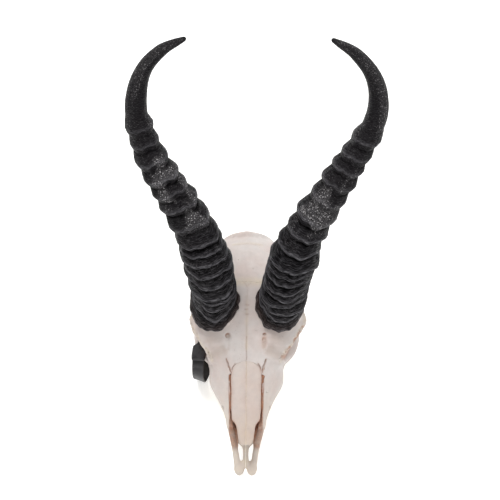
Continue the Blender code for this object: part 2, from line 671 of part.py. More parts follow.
def tooth(y, x, length, breadth, lobes, seed):
    """One high-crowned cheek tooth: a ribbed column with one or two lobes, flat below."""
    draw = np.random.default_rng(seed)
    angle = np.linspace(0, 2 * np.pi, TOOTH_SIDES, endpoint=False)
    long = np.sign(np.cos(angle)) * np.abs(np.cos(angle)) ** 0.75 * length / 2
    wide = np.sign(np.sin(angle)) * np.abs(np.sin(angle)) ** 0.75 * breadth / 2
    if lobes == 2:
        wide = wide * (0.86 + 0.16 * np.abs(np.sin(2 * np.pi * long / length)))
    rows = ((19.0, 0.82, 0.8), (10.0, 0.97, 0.9), (1.0, 0.97, 1.0), (0.0, 0.9, 0.94))
    rings = []
    for z, a, b in rows:
        lean = (z / 19.0) * draw.uniform(-0.4, 0.4)
        rings.append(np.column_stack([x + wide * b + lean, y + long * a, np.full(TOOTH_SIDES, z)]))
    return skin("tooth", np.array(rings))


def add_teeth(nodes):
    for side, word in ((1, "left"), (-1, "right")):
        y = TOOTH_ROW_START
        teeth = []
        for k, (length, breadth, lobes) in enumerate(TEETH):
            middle = y + length / 2
            x = hermite([p[0] for p in TOOTH_ROW_X], [p[1] for p in TOOTH_ROW_X], np.array([middle]))[0]
            teeth.append(tooth(middle, x * side, length + 0.5, breadth, lobes, 10 * k + side + 1))
            y += length
        boolean(nodes["maxilla_" + word], teeth, "UNION")


def horn_frame():
    line = np.array(HORN_LINE)
    fine = smooth_line(line, 600)
    length = np.concatenate([[0], np.cumsum(np.linalg.norm(np.diff(fine, axis=0), axis=1))])
    return fine, length


def ring_stations():
    """Lengths along the horn of each ring's notch: close near the base, then evenly wide.

    The spacing rises in a smooth step from RING_FIRST to RING_LAST, and a notch lies below its
    crest by RING_CREST of the spacing."""
    ease = np.clip((np.arange(RING_COUNT) - RING_WIDENS[0]) / RING_WIDENS[1], 0, 1)
    step = RING_FIRST + (RING_LAST - RING_FIRST) * ease**2 * (3 - 2 * ease)
    crest = RING_START + np.cumsum(step)
    return np.concatenate([[0], crest - RING_CREST * step])


def horn(side):
    """A ringed horn as a grid: rows follow the rings, columns run from base to tip.

    A row at station s is tilted: its front and inner edge lie lower than its back and outer
    edge. The radius swells by RING_RISE just above each notch and falls away towards the next,
    most on the front and inner side."""
    fine, length = horn_frame()
    notches = ring_stations()
    rows, swell = [], []
    for a, b in zip(notches[:-1], notches[1:]):
        for part, height in ((0.0, -0.35), (RING_CREST, 1.0), (0.62, 0.45)):
            rows.append(a + (b - a) * part)
            swell.append(height)
    tip = notches[-1] + (length[-1] - notches[-1]) * (np.arange(TIP_ROWS) / (TIP_ROWS - 1.0)) ** 0.9
    rows = np.concatenate([rows, tip])
    swell = np.concatenate([swell, [-0.35 * (1 - k / 2) if k < 2 else 0.0 for k in range(TIP_ROWS)]])
    angle = np.linspace(0, 2 * np.pi, RING_SIDES, endpoint=False)
    inner, fore = np.cos(angle), np.sin(angle)
    breadth = np.interp(rows, *zip(*HORN_BREADTH)) / 2
    depth = breadth * np.interp(rows, *zip(*HORN_DEPTH_RATIO))
    taper = np.clip((breadth - 2) / 16, 0.1, 1)
    rise = RING_RISE * taper * swell
    facing = np.clip(0.72 + 0.28 * inner + 0.2 * fore, 0.25, 1.2)
    grow = 1 + rise[:, None] * facing / breadth[:, None]
    across = -inner * breadth[:, None] * grow
    ahead = fore * depth[:, None] * grow
    ease = np.exp(-((rows / RING_LEAN_REACH) ** 1.3))
    lean = RING_LEAN_HIGH + (RING_LEAN_BASE - RING_LEAN_HIGH) * ease
    fade = np.clip((length[-1] - rows) / 60, 0, 1)[:, None]
    side_lean = RING_SIDE_LEAN * np.clip(rows / 40, 0, 1)
    station = rows[:, None] - fade * (lean[:, None] * ahead - side_lean[:, None] * across)
    station = np.clip(station, -30, length[-1])
    centre = np.stack([np.interp(station, length, fine[:, k]) for k in range(3)], axis=-1)
    start = fine[8] - fine[0]
    start /= np.linalg.norm(start)
    centre = centre + np.minimum(station, 0)[..., None] * start
    middle = np.stack([np.interp(rows, length, fine[:, k]) for k in range(3)], axis=-1)
    ahead_of = np.stack([np.interp(rows + 2, length, fine[:, k]) for k in range(3)], axis=-1)
    behind = np.stack([np.interp(rows - 2, length, fine[:, k]) for k in range(3)], axis=-1)
    way = (ahead_of - behind) / np.linalg.norm(ahead_of - behind, axis=1)[:, None]
    front = np.array((0.0, -1.0, 0.25)) - (way @ np.array((0.0, -1.0, 0.25)))[:, None] * way
    front /= np.linalg.norm(front, axis=1)[:, None]
    outer = np.cross(front, way)
    outer *= np.sign(outer[0, 0])
    grid = centre + across[..., None] * outer[:, None] + ahead[..., None] * front[:, None]
    grid = set_base(grid, start)
    part = np.clip(rows / length[-1], 0, 1)
    ease = np.clip((part - 0.5) / 0.28, 0, 1)
    low, high = HORN_SWAY
    grid[..., 0] += side * (low * np.clip(part * 5, 0, 1) + high * ease**2 * (3 - 2 * ease))[:, None]
    back, down = HORN_SET_BACK
    grid[..., 1] -= side * back * np.sin(np.pi * part)[:, None]
    grid[..., 2] -= side * down * np.sin(np.pi * part)[:, None]
    grid = grid * (side, 1, 1)
    return skin("horn_left" if side > 0 else "horn_right", grid)


def set_base(grid, way):
    """Slides the lowest row on to the flat face of the base, and keeps the next rows above it."""
    normal = np.array(HORN_BASE_NORMAL)
    base = np.array(HORN_LINE[0])
    lift = BASE_LIFT * np.arange(len(grid))[:, None]
    slide = (lift + (base - grid) @ normal) / (way @ normal)
    slide[1:] = np.maximum(slide[1:], 0)
    return grid + slide[..., None] * way


def band():
    """The tag's strap: a flat band round a closed smooth line."""
    points = np.array(BAND_LINE)
    line = closed_curve(points[None, :, :3], 4)[0]
    wide = closed_curve(points[None, :, 3:], 4)[0]
    way = np.roll(line, -1, axis=0) - np.roll(line, 1, axis=0)
    way /= np.linalg.norm(way, axis=1)[:, None]
    wide = wide - (way * wide).sum(axis=1)[:, None] * way
    wide /= np.linalg.norm(wide, axis=1)[:, None]
    out = np.cross(way, wide)
    a, b = BAND_WIDTH / 2, BAND_THICK / 2
    corners = ((1, 1), (-1, 1), (-1, -1), (1, -1))
    grid = np.stack([line + wide * p * a + out * q * b for p, q in corners], axis=1)
    rows, n = len(line), 4
    faces = []
    for r in range(rows):
        for k in range(n):
            j, s = (k + 1) % n, (r + 1) % rows
            faces.append((r * n + k, r * n + j, s * n + j, s * n + k))
    return new_object("tag_band", grid.reshape(-1, 3), faces)


def lock():
    """The tag's lock: a chamfered block that lies on the outside of the band."""
    bm = bmesh.new()
    bmesh.ops.create_cube(bm, size=1.0)
    for v in bm.verts:
        v.co = Vector([v.co[k] * LOCK_SIZE[k] for k in range(3)])
    bmesh.ops.bevel(bm, geom=bm.edges[:], offset=1.0, segments=1, affect="EDGES")
    along = Vector(LOCK_WAY).normalized()
    side = along.cross(Vector((0, 0, 1))).normalized()
    up = side.cross(along)
    points = [Vector(LOCK_MIDDLE) + side * v.co.x + along * v.co.y + up * v.co.z for v in bm.verts]
    faces = [[v.index for v in f.verts] for f in bm.faces]
    bm.free()
    return new_object("tag_lock", points, faces)


def material(name, colour, roughness, metallic=0.0):
    mat = bpy.data.materials.new(name)
    mat.use_nodes = True
    shader = mat.node_tree.nodes["Principled BSDF"]
    shader.inputs["Base Color"].default_value = (*colour, 1.0)
    shader.inputs["Roughness"].default_value = roughness
    shader.inputs["Metallic"].default_value = metallic
    return mat


def finish(nodes):
    """Gives each node its material, moves the whole over the origin and writes it in metres."""
    low = np.full(3, np.inf)
    high = -low
    for obj in nodes.values():
        points = np.array([v.co for v in obj.data.vertices])
        low, high = np.minimum(low, points.min(0)), np.maximum(high, points.max(0))
    middle = np.array(((low[0] + high[0]) / 2, (low[1] + high[1]) / 2, 0.0))
    for name, obj in nodes.items():
        points = (np.array([v.co for v in obj.data.vertices]) - middle) * METRES
        obj.data.vertices.foreach_set("co", points.ravel())
        obj.name = name
        if name.startswith("horn"):
            obj.data.materials.append(material("horn_" + name, HORN_COLOUR, 0.55))
        elif name.startswith("tag"):
            obj.data.materials.append(material("plastic_" + name, TAG_COLOUR, 0.45))
        else:
            obj.data.materials.append(material("bone_" + name, BONE_COLOUR, 0.62))
        obj.data.shade_smooth()
        obj.data.set_sharp_from_angle(angle=0.7)
        obj.data.update()


def main():
    for obj in list(bpy.data.objects):
        bpy.data.objects.remove(obj)
    body = skull_body()
    carve(body)
    blend(body, 2)
    thin_out(body, BONE_TRIANGLES)
    trim(body)
    nodes = part_bones(body)
    add_teeth(nodes)
    nasal = nasal_bone()
    nodes["nasal_left"] = nasal
    nodes["nasal_right"] = mirrored(nasal)
    nodes["horn_left"] = horn(1)
    nodes["horn_right"] = horn(-1)
    nodes["tag_band"] = band()
    nodes["tag_lock"] = lock()
    finish(nodes)


if __name__ == "__main__":
    main()
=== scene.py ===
"""Springbok skull: the dressed model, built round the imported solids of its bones, horns and tag.

Working lengths are millimetres in the skull's own frame: x = 0 on its midline with its left side
at +X, y = 0 at the tip of the muzzle and z = 0 on the floor. Every finished piece is written in
metres in the frame's place."""

import bpy
import numpy as np
from bpy.props import FloatProperty, FloatVectorProperty, PointerProperty
from mathutils import Matrix, Vector
from mathutils.bvhtree import BVHTree


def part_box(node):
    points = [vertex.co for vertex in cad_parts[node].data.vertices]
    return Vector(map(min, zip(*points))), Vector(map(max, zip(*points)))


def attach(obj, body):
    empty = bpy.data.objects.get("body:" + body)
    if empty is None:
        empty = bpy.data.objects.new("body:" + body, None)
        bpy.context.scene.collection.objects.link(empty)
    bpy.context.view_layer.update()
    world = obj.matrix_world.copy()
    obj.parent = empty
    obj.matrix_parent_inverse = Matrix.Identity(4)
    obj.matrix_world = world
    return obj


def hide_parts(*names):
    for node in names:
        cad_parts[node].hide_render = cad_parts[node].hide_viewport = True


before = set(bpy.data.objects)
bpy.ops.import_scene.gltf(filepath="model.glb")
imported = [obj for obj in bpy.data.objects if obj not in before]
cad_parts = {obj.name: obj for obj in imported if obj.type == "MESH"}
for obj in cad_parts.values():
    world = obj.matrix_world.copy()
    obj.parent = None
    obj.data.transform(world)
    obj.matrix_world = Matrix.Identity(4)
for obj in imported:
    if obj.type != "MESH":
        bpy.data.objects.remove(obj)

bl_info = {
    "name": "Springbok Skull",
    "version": (1, 0, 0),
    "blender": (4, 5, 0),
    "location": "3D View > Sidebar > Skull",
    "description": "Builds a springbok skull with ringed horns and a looped tag",
    "category": "Add Mesh",
}

METRES = 0.001
NASAL_TIP_Y = 18.2
LEFT_NASAL, RIGHT_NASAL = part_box("nasal_left"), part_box("nasal_right")
# Where the skull's own origin lies in the frame, in metres
ORIGIN = np.array((
    (LEFT_NASAL[0].x + RIGHT_NASAL[1].x) / 2, LEFT_NASAL[0].y - NASAL_TIP_Y * METRES, 0.0,
))
SIDES = ((1, "left"), (-1, "right"))
# Cells along each way of the table of random numbers that smooth noise is made from
NOISE_CELLS = 48

# Guide lines of the face as (y, x, z), from the top of the midline round the side to the palate
FACE_GUIDES = (
    ((34, 0, 48.5), (50, 0, 55), (64, 0, 60.6), (80, 0, 67), (96, 0, 74.6), (110, 0, 82), (122, 0, 88)),
    (
        (34, 8, 46.5), (50, 11, 53), (64, 12.5, 58.4), (80, 14, 65), (96, 17, 73),
        (110, 18, 80), (122, 18, 86),
    ),
    (
        (34, 13, 41), (50, 16.5, 45), (64, 20.5, 49), (80, 25.5, 54.5), (92, 30, 60),
        (104, 31, 62), (122, 24, 66),
    ),
    (
        (34, 15.7, 33), (50, 18.7, 34), (60, 23.3, 35), (67, 27.2, 35.6), (73, 30.2, 36), (84, 30.4, 37),
        (98, 31.5, 36), (122, 18, 40),
    ),
    (
        (34, 14, 25.5), (50, 18.3, 20.5), (62, 23, 17.5), (80, 28.3, 16.5), (100, 30.3, 17),
        (112, 27, 20), (122, 12, 26),
    ),
    ((34, 9, 22), (50, 13.5, 15.5), (64, 16, 14), (100, 18, 14), (112, 15, 17), (122, 7, 24)),
    ((34, 0, 23), (50, 0, 19.5), (100, 0, 19), (122, 0, 25)),
)
# Guide lines of the frontal roof, from the midline over the orbit's rim to the underside
FRONTAL_GUIDES = (
    ((78, 0, 66), (97, 0, 75.3), (110, 0, 82.3), (124, 0, 89.2), (132, 0, 89.6), (150, 0, 85.5)),
    ((78, 12, 64.5), (97, 14, 75), (110, 15, 81.5), (124, 15, 88.2), (132, 15, 88.4), (150, 15, 83)),
    ((78, 21, 59), (92, 27, 68.5), (106, 29, 77.5), (118, 30, 84), (130, 29, 85.5), (150, 22, 77)),
    (
        (78, 25.5, 53), (83, 29, 59), (88.3, 31.6, 64.6), (91.5, 34, 67.2), (98, 38.6, 69.2),
        (105.3, 42.8, 70.4), (110, 45.5, 70.8), (117, 47, 71.5), (128, 41, 77), (150, 27, 68),
    ),
    (
        (78, 24.5, 49), (83, 28, 54), (88.3, 30.6, 59.5), (91.5, 32.5, 62.2), (98, 37, 64.6),
        (110, 44, 66), (117, 45, 66), (128, 37, 70), (150, 26, 62),
    ),
    ((78, 12, 50), (110, 14, 55), (128, 18, 60), (150, 16, 60)),
    ((78, 0, 48), (150, 0, 55)),
)
# Guide lines of the braincase, from the crown over the widest side to the base
BRAINCASE_GUIDES = (
    (
        (104, 0, 70), (118, 0, 85), (128, 0, 89), (142, 0, 87.8), (165, 0, 81), (180, 0, 74),
        (190, 0, 66), (198, 0, 54), (202, 0, 44),
    ),
    (
        (104, 8, 66), (118, 16, 79), (142, 21, 80), (165, 23.5, 73.5), (180, 22, 66.5),
        (190, 19, 59.5), (198, 13, 50), (202, 7, 42),
    ),
    (
        (104, 11, 52), (118, 20, 58), (132, 26, 60), (150, 31, 57), (165, 31.8, 54),
        (180, 29.5, 50), (190, 25, 46), (198, 17, 41), (202, 9, 37),
    ),
    (
        (104, 9, 38), (118, 14, 40), (150, 25, 37), (165, 28, 34), (180, 27, 32),
        (190, 21, 30), (198, 13, 30), (202, 7, 31),
    ),
    ((104, 6, 28), (118, 7, 27), (150, 10.5, 24), (180, 11, 22.5), (198, 8, 22), (202, 5, 26)),
    ((104, 0, 27), (118, 0, 26), (150, 0, 22.5), (190, 0, 21), (202, 0, 25)),
)
# Guide lines of the nasal cavity under the nasals
CAVITY_GUIDES = (
    ((14, 0, 60), (34, 0, 60), (40, 0, 60), (46, 0, 50.5), (64, 0, 57), (78, 0, 60), (89, 0, 52)),
    ((14, 4.5, 60), (34, 8, 60), (40, 9, 60), (46, 9, 49), (64, 11, 55), (78, 9, 58), (89, 4, 50)),
    ((14, 5.6, 40), (34, 9.8, 42), (46, 13, 43), (64, 16, 47), (78, 14, 50), (89, 5, 46)),
    ((14, 5.6, 30), (34, 9.8, 31), (46, 12.8, 33), (64, 16, 35), (78, 14, 38), (89, 5, 42)),
    ((14, 4.5, 23), (34, 7, 25), (64, 10, 26), (78, 8, 30), (89, 3, 40)),
    ((14, 0, 22), (34, 0, 24.5), (64, 0, 25), (78, 0, 29), (89, 0, 39)),
)
# Bars and ridges of the left side: (line of (x, y, z), widths across, heights, way of the height),
# where no way means upwards
BARS = {
    "behind_eye": (
        ((45, 113, 69.5), (44.2, 116.5, 60), (41.8, 117.5, 47), (41, 116.5, 35)),
        (5.5, 4.6, 5), (7, 5.6, 7), (0, 1, 0),
    ),
    "under_eye": (
        (
            (28.5, 85, 38), (30.2, 91, 32.5), (34.8, 96, 30.6), (39.4, 102.5, 30), (41.6, 110, 31.4),
            (41.6, 118, 34),
        ),
        (5.4, 5, 4.6), (6.4, 6, 7),
    ),
    "arch": (
        (
            (40.6, 108, 32), (41.6, 120, 34), (41.4, 130, 37), (39.6, 140, 39.6),
            (35.6, 149, 41.2), (28, 156, 42),
        ),
        (4, 3.4, 3.4, 4, 7), (8, 7.4, 7, 7, 9),
    ),
    "temple_ridge": (
        ((30, 154, 42), (30.5, 164, 43), (29.5, 176, 44), (25, 187, 46)),
        (5, 4), (5, 4),
    ),
    "nape_crest": (
        ((0, 194, 63), (14, 192.5, 59), (23.5, 188, 50), (26.5, 185, 40), (24, 187, 32)),
        (6, 5, 5), (6, 5, 5), (0, 1, 0),
    ),
    "ear_tube": (((22, 160, 33), (28, 161, 35), (34, 162.5, 37.5)), (9, 8, 7.4), (9, 8, 7.4), (0, 1, 0)),
    "side_of_neck_hole": (((14, 190, 26), (20, 187, 28), (24, 182, 32)), (14, 10), (12, 12)),
    "paroccipital": (
        ((22, 186, 36), (22.5, 187.5, 22), (22.6, 190, 10), (22, 192, -3)),
        (5, 4.6, 3.8, 3.4), (12, 10.5, 8, 5), (0, 1, 0),
    ),
    "wing_of_palate": (
        ((13, 96, 20), (11, 106, 20), (9, 118, 21), (8, 130, 23)),
        (3.2, 2.8, 2.8), (14, 15, 9),
    ),
    "premaxilla_side": (
        (
            (5.8, 3.5, 13.6), (6.9, 9, 15.2), (8.5, 19, 19.2), (10.7, 29, 25), (12.9, 38, 30),
            (14.2, 47, 35),
        ),
        (5.4, 5.2, 5.8, 6.6), (5.0, 5.6, 9, 13),
    ),
    "premaxilla_bar": (
        (
            (1.15, 6, 13), (1.0, 14, 14.5), (1.1, 21.5, 16.2), (4.6, 29.5, 18.4), (5.6, 38, 20.5),
            (6, 47, 22),
        ),
        (3, 2.8, 3.4, 9.6, 13, 16), (4, 4, 4, 4, 5),
    ),
}
# Knobs of the left side: (middle, radii)
KNOBS = {
    "bulla": ((17, 165, 18), (8.2, 12.5, 10.2)),
    "condyle": ((9.6, 199.5, 25), (7.2, 6.4, 9.2)),
    "base_knob": ((5.6, 172, 20), (4, 7, 4)),
    "premaxilla_tip": ((5.2, 5.6, 13.4), (4.6, 6.6, 2.9)),
}
# Holes on the midline, in the same order as the bars
MIDDLE_HOLES = {
    "choana": (
        ((0, 97, 13), (0, 104, 18), (0, 114, 19), (0, 132, 15)),
        (9, 13, 12, 10), (10, 16, 14, 10),
    ),
    "neck_hole": (((0, 212, 33), (0, 200, 34), (0, 180, 38)), (19, 17, 8), (18, 16, 8)),
}
# Holes that both sides have, on the left side
SIDE_HOLES = {
    "ear_hole": (((40, 164.5, 40), (33, 162, 37), (25, 160, 34)), (4.6, 4, 2), (4.6, 4, 2)),
    "cheek_hole": (((26, 46, 36), (18, 52, 34), (14, 60, 32)), (4, 3.4, 1.6), (5, 4.4, 2)),
    "tear_hole": (((38, 89, 54), (33, 87, 52), (26, 84, 50)), (1.8, 1.6, 1.2), (2.2, 1.8, 1.2)),
    "palate_hole": (((8, 78, 8), (8.2, 84, 15), (8.4, 92, 21)), (3, 2.6, 1.6), (3, 2.6, 1.6), (0, 1, 0)),
    "nerve_hole": (((18, 118, 44), (10, 126, 46), (4, 130, 46)), (4, 3.4, 2), (5, 4, 2)),
    "condyle_hole": (((18, 192, 22), (13, 188, 26), (8, 184, 32)), (3, 2.4, 2), (3, 2.4, 2)),
}
# Openings over the eyes, which differ: one oval on the right side, two small ones on the left
BROW_HOLES = {
    "right_brow": (
        ((-14.8, 97.0, 82), (-15.0, 98.4, 78), (-15.6, 100.2, 74.2)),
        (5.0, 4.4, 2.2), (5.2, 4.6, 2.2), (0, -1, 0),
    ),
    "left_brow_back": (
        ((14.3, 98.8, 82), (14.4, 99.8, 78), (14.9, 101.6, 74.8)),
        (4.4, 3.8, 2.0), (2.8, 2.4, 1.4), (0, -1, 0),
    ),
    "left_brow_front": (
        ((14.2, 94.6, 82), (14.2, 95.8, 76), (14.6, 97.8, 73.2)),
        (4.8, 4.2, 2.0), (3.0, 2.6, 1.4), (0, -1, 0),
    ),
}
# Grain of the first blend of the bones in mm, and how often the first and the fine blend are smoothed
ROUGH_GRAIN = 0.8
ROUGH_ROUNDS, FINE_ROUNDS = 9, 2

# Orbit: radius of its rim, its wall, the rim's middle on the left side, and the way it faces
ORBIT_RADIUS = 15.8
ORBIT_WALL = 3.4
ORBIT_CENTRE = (36.6, 102.0, 50.0)
ORBIT_FACING = (0.916, -0.402, 0.0)
# Sections of its cup and of its hollow: (mm outwards along its axis, mm added to the radius), and
# where the hollow's deepest section has moved to
ORBIT_CUP = ((0.4, -0.6), (-8, 0.6), (-16, 2), (-25, 1))
ORBIT_HOLLOW = (
    (14, 7), (6, 2.6), (0, 0), (-8, -0.3), (-16, -2.2), (-22, -5), (-27, -9), (-30, -13),
)
ORBIT_SINK = (0, 3.0, -1.0)
# Sections of the way from the orbit to the temple: (y, middle x, half width, middle z, half height)
ORBIT_BACK = (
    (102, 24, 7, 50, 13), (108, 25, 10, 48, 17), (112, 26, 11, 46, 20),
    (117, 28, 10, 44.5, 21.5), (122, 29.5, 8.6, 44.5, 21.5), (130, 32, 7, 44, 20),
)

# Half outline of the nasals in plan, as (y, x), from the tip to the frontal
NASAL_EDGE = (
    (NASAL_TIP_Y, 3.4), (20, 5), (28, 7), (33.5, 8.3), (37.5, 11.2), (42, 11.8), (60, 12.2),
    (71, 12.4), (74.4, 11.9), (77.2, 10.4), (79.2, 7.8), (80.3, 4.2), (80.7, 0.2),
)
NASAL_THICK = 2.4
# Height of their upper surface on the midline, as (y, z), and how it falls off with x squared
NASAL_TOP = ((17, 41.3), (34, 48.8), (50, 55.3), (64, 60.9), (80, 67.2), (96, 74.8))
NASAL_CAMBER = 0.014
NASAL_INNER_ROUND = 0.12
NASAL_GAP = 0.06
TISSUE_THICK = 0.5
# Slits beside the nasals: how far the bed's edge stands off the nasal's edge, as (y, gap)
SLIT_LEFT = (
    (38.5, 1.5), (41, 1.15), (52, 1.2), (57.8, 1.35), (58.6, 0.6), (65.0, 0.7), (65.8, 1.5),
    (68.5, 2.1), (71.2, 2.6), (71.9, 0.06), (73, 0.0), (81, -0.03),
)
SLIT_RIGHT = (
    (38.5, 1.5), (41, 0.95), (52, 0.85), (60, 0.95), (66, 1.2), (69, 1.6), (71.4, 1.7),
    (72.1, 0.06), (73, 0.0), (81, -0.03),
)
# The bed that the nasals lie in: from and to in y, its back end, its open top, and its depth in mm
BED_FROM, BED_TO, BED_END = 38.5, 80.6, 80.78
BED_TOP, BED_DEPTH = 95.0, 6
# Outline of the open nose in front of the slits, as (y, x)
NOSE_OPENING = ((10, 14.2), (20, 14.2), (30, 14.2), (34.5, 14.1), (36.8, 13.8))

# Sutures in side view, as (y, z)
ROOF_SUTURE = ((60, 86), (81.0, 66.6), (88, 56), (96, 46.5), (108, 44), (126, 43.6), (129, 43.4))
CORONAL_SUTURE = ((150, 112), (142, 88), (133, 62), (126, 43.6), (119, 39), (118, -10))
MUZZLE_SUTURE = ((30, -10), (33, 18), (42, 32), (47, 44), (47.5, 60))
CHEEK_SUTURE = ((86.5, 61.2), (86.5, 42), (94, 27), (108, 21), (126, 19))
CHEEK_INNER_X = 27.0
TEMPLE_SUTURE = ((126, 52), (131, 40), (138, 34), (142, 20))
# How far the roof suture dips towards the muzzle beside the nasals, as (distance from midline, mm),
# and the way of that dip in (y, z)
ROOF_DIP = ((0, 7.4), (12.0, 7.4), (13.6, 5.0), (16.4, -2.0), (24, -1.0), (34, 0.0), (60, 0.0))
ROOF_SLOPE = (-0.87, -0.49)
SUTURE_REACH = 1.6
SUTURE_STEP = 0.7
# The sutures that lie in thin bone are this share of the open sutures' width
FINE_SUTURE = 0.4
# Sutures of each side: (profile, from x, to x, how far they wander in mm, seed)
SIDE_SUTURES = {
    "muzzle_suture": (MUZZLE_SUTURE, 0.02, 24, 0.5, 35),
    "cheek_suture": (CHEEK_SUTURE, CHEEK_INNER_X - 0.5, 56, 0.5, 38),
    "temple_suture": (TEMPLE_SUTURE, 31, 56, 0.35, 41),
}

# Raised (+) and sunk (-) forms of the left side: (line, reach, height in mm)
RELIEF = (
    (((29.5, 85, 61), (24.9, 87.2, 63), (18.8, 88.9, 68)), 6.0, -1.7),
    (((32, 93.5, 68), (25, 94, 70.5), (19, 95.5, 73)), 4.2, 0.7),
    (((26, 100, 73), (27, 107, 77)), 7.5, -0.9),
    (((14.4, 97, 76), (14.4, 93, 73.5), (14.8, 89.5, 71.5)), 2.3, -0.75),
    (((25, 80, 57.6), (25, 73.6, 49.3), (26.6, 68, 41)), 6.0, -0.7),
    (((31, 74, 41), (31, 82, 44)), 7.0, -0.5),
    (((27, 56, 24), (28.5, 64, 25.5), (30.5, 74, 27)), 5.0, 0.7),
    (((20, 56, 43), (22.5, 64, 45)), 6.0, -0.45),
    (((17.5, 44, 28), (19.5, 52, 27)), 4.5, -0.5),
    (((46, 118, 72), (38, 131, 76), (30, 146, 75), (22, 162, 72.5), (14, 178, 69), (10, 190, 63)), 2.6, 0.55),
    (((34, 138, 66), (30, 152, 64), (27, 168, 60)), 9.0, -0.5),
    (((0, 198, 60), (0, 203, 48)), 2.4, 0.9),
    (((8, 199, 56), (7, 202, 47)), 5.0, -0.6),
    (((4, 127, 89.5), (5, 140, 88)), 5.0, 0.25),
    (((0, 96, 75), (0, 108, 81)), 5.5, -0.55),
    (((0, 116, 86), (0, 124, 89)), 3.2, -0.35),
    (((34, 94.5, 68.5), (38.5, 102, 70), (42.5, 109, 71.5)), 5.0, 1.0),
    (((15, 165, 9), (19, 165, 9.5)), 5.0, 0.4),
    (((12, 150, 24), (13, 158, 22)), 3.0, -0.6),
    (((0, 60, 18), (0, 92, 18)), 3.0, -0.4),
    (((41.5, 120, 36), (41, 136, 40)), 3.0, 0.35),
)
# The same on one side only: the pit in front of the left brow openings, and the knobs of the brows
RELIEF_ONE_SIDE = (
    (((14.7, 94.2, 73.5), (14.9, 91.5, 72)), 2.1, -0.7),
    (((-26.2, 74, 47), (-25.4, 80, 57)), 3.6, -0.6),
    (((-46.5, 112, 71.5), (-47.5, 120, 72)), 9.0, -2.2),
    (((46.5, 113, 71.5), (47.0, 118, 72)), 5.0, 1.0),
    (((-13.2, 93.2, 74.5), (-12.8, 91.6, 73.5)), 2.0, 0.6),
    (((-15.0, 99.6, 76), (-14.8, 98.0, 75.5)), 3.6, -1.0),
    (((14.4, 101, 78), (14.4, 96, 75)), 2.6, -0.5),
)
# Bands of the left side darkened with painted shade: (line, reach, mm of hollow that they look like)
PAINTED_SHADE_BANDS = (
    (((31, 86.5, 62), (25, 88, 64), (19, 89.6, 68.5)), 8.5, 0.27),
    (((37, 97, 67), (30, 96, 70), (22, 97, 73)), 9.0, 0.22),
    (((28, 106, 76), (38, 110, 72)), 8.0, 0.12),
)
# Rough, toothed edge over each orbit, as a line on the left side, and its reach and height
BROW_EDGE = (
    (28.9, 83.1, 59.5), (31.0, 88.2, 64.8), (34.0, 91.5, 67.7), (37.5, 95, 69), (42.3, 104.5, 70.5),
    (45.6, 109.7, 70.5), (47.0, 116, 71.5), (45, 121, 73),
)
BROW_EDGE_REACH = 3.2
BROW_TEETH = 1.2
BROW_TOOTH_LENGTH = 2.6
# Unevenness all over the bone: (size in mm, height in mm, seed)
UNEVENNESS = ((15, 0.24, 21), (6, 0.13, 22), (2.4, 0.06, 23))
# How often the copy is smoothed that raised and sunk places are measured from, and the most points
# that a loose scrap of the cuts has
RELIEF_ROUNDS = 14
SCRAP = 400

# Fine lines cut in the surface: (line in plan, width, depth, wander, brown stain), left and right apart
SEAM_LINES = (
    (((0.4, 137), (0.2, 126)), 0.12, 0.25, 0.45, 0.1),
    (((0.2, 113.5), (-0.1, 103), (-0.1, 98)), 0.12, 0.28, 0.22, 0.12),
    (((-0.1, 99), (-0.2, 92), (0.1, 81.6)), 0.22, 0.6, 0.35, 0.55),
    (((-2.6, 141.2), (-1.4, 139.2), (-0.3, 137.4)), 0.14, 0.25, 0.3, 0.3),
    (((2.9, 140.6), (1.2, 138.6), (-0.2, 137.4)), 0.14, 0.25, 0.3, 0.3),
    (((-0.9, 122.0), (1.6, 121.6)), 0.26, 0.25, 0.2, 0.5),
    (((-1.6, 118.4), (0.9, 118.7)), 0.26, 0.25, 0.2, 0.5),
    (((-0.8, 115.2), (1.4, 114.9)), 0.26, 0.25, 0.2, 0.5),
    (((-16.4, 83.2), (-14.6, 77.9), (-13.4, 75.4), (-12.6, 72.6)), 1.3, 1.3, 0.95, 1.0),
    (((16.0, 83.0), (14.9, 79.4), (13.6, 76.2), (13.0, 72.6)), 2.0, 1.4, 1.0, 1.0),
    (((12.2, 74.6), (11.2, 76.6), (9.4, 78.9)), 0.7, 1.2, 0.6, 0.9),
    (((-12.2, 74.6), (-11.2, 76.6), (-9.0, 79.2)), 0.3, 1.2, 0.12, 0.6),
    (((-12.5, 180.9), (-6, 180.3), (0, 180.8), (6, 180.2), (12, 181)), 0.18, 0.3, 0.7, 0.25),
    (((17.0, 59.0), (18.3, 60.3)), 0.5, 1.2, 0.2, 0.7),
)
# Height in mm above the skull from which these lines and the pits are dropped on to it
SEAM_FROM, PIT_FROM = 100.0, 120.0
# These lines stain only what lies above this height
SEAM_LOW = 58
# Fine lines on the sides of the skull, dropped on to it from the side: left side values
SIDE_SEAMS = (
    (((80, 146, 66), (80, 158, 61), (80, 172, 56), (80, 184, 54)), 0.2, 0.5, 0.7, 0.3),
    (((80, 87, 57), (80, 80, 46), (80, 78, 38), (80, 84, 30)), 0.2, 0.5, 0.6, 0.3),
    (((80, 80, 56), (80, 70, 51), (80, 58, 47.5)), 0.16, 0.4, 0.35, 0.25),
)
# Small dark pits: (x, y, radius), dropped on to the top of the skull
PITS = (
    (-7.7, 163.6, 0.42), (16.4, 59.3, 0.5), (-5.5, 108.5, 0.3), (7.5, 103.2, 0.28), (18.5, 108.2, 0.35),
    (-20.5, 104.8, 0.35), (-3.5, 97.0, 0.26), (5.2, 90.3, 0.25), (20.6, 93.8, 0.3), (-22.4, 95.2, 0.32),
    (11.5, 87.6, 0.24), (-9.6, 88.8, 0.26), (4.6, 154.4, 0.22), (12.3, 171.6, 0.25),
)

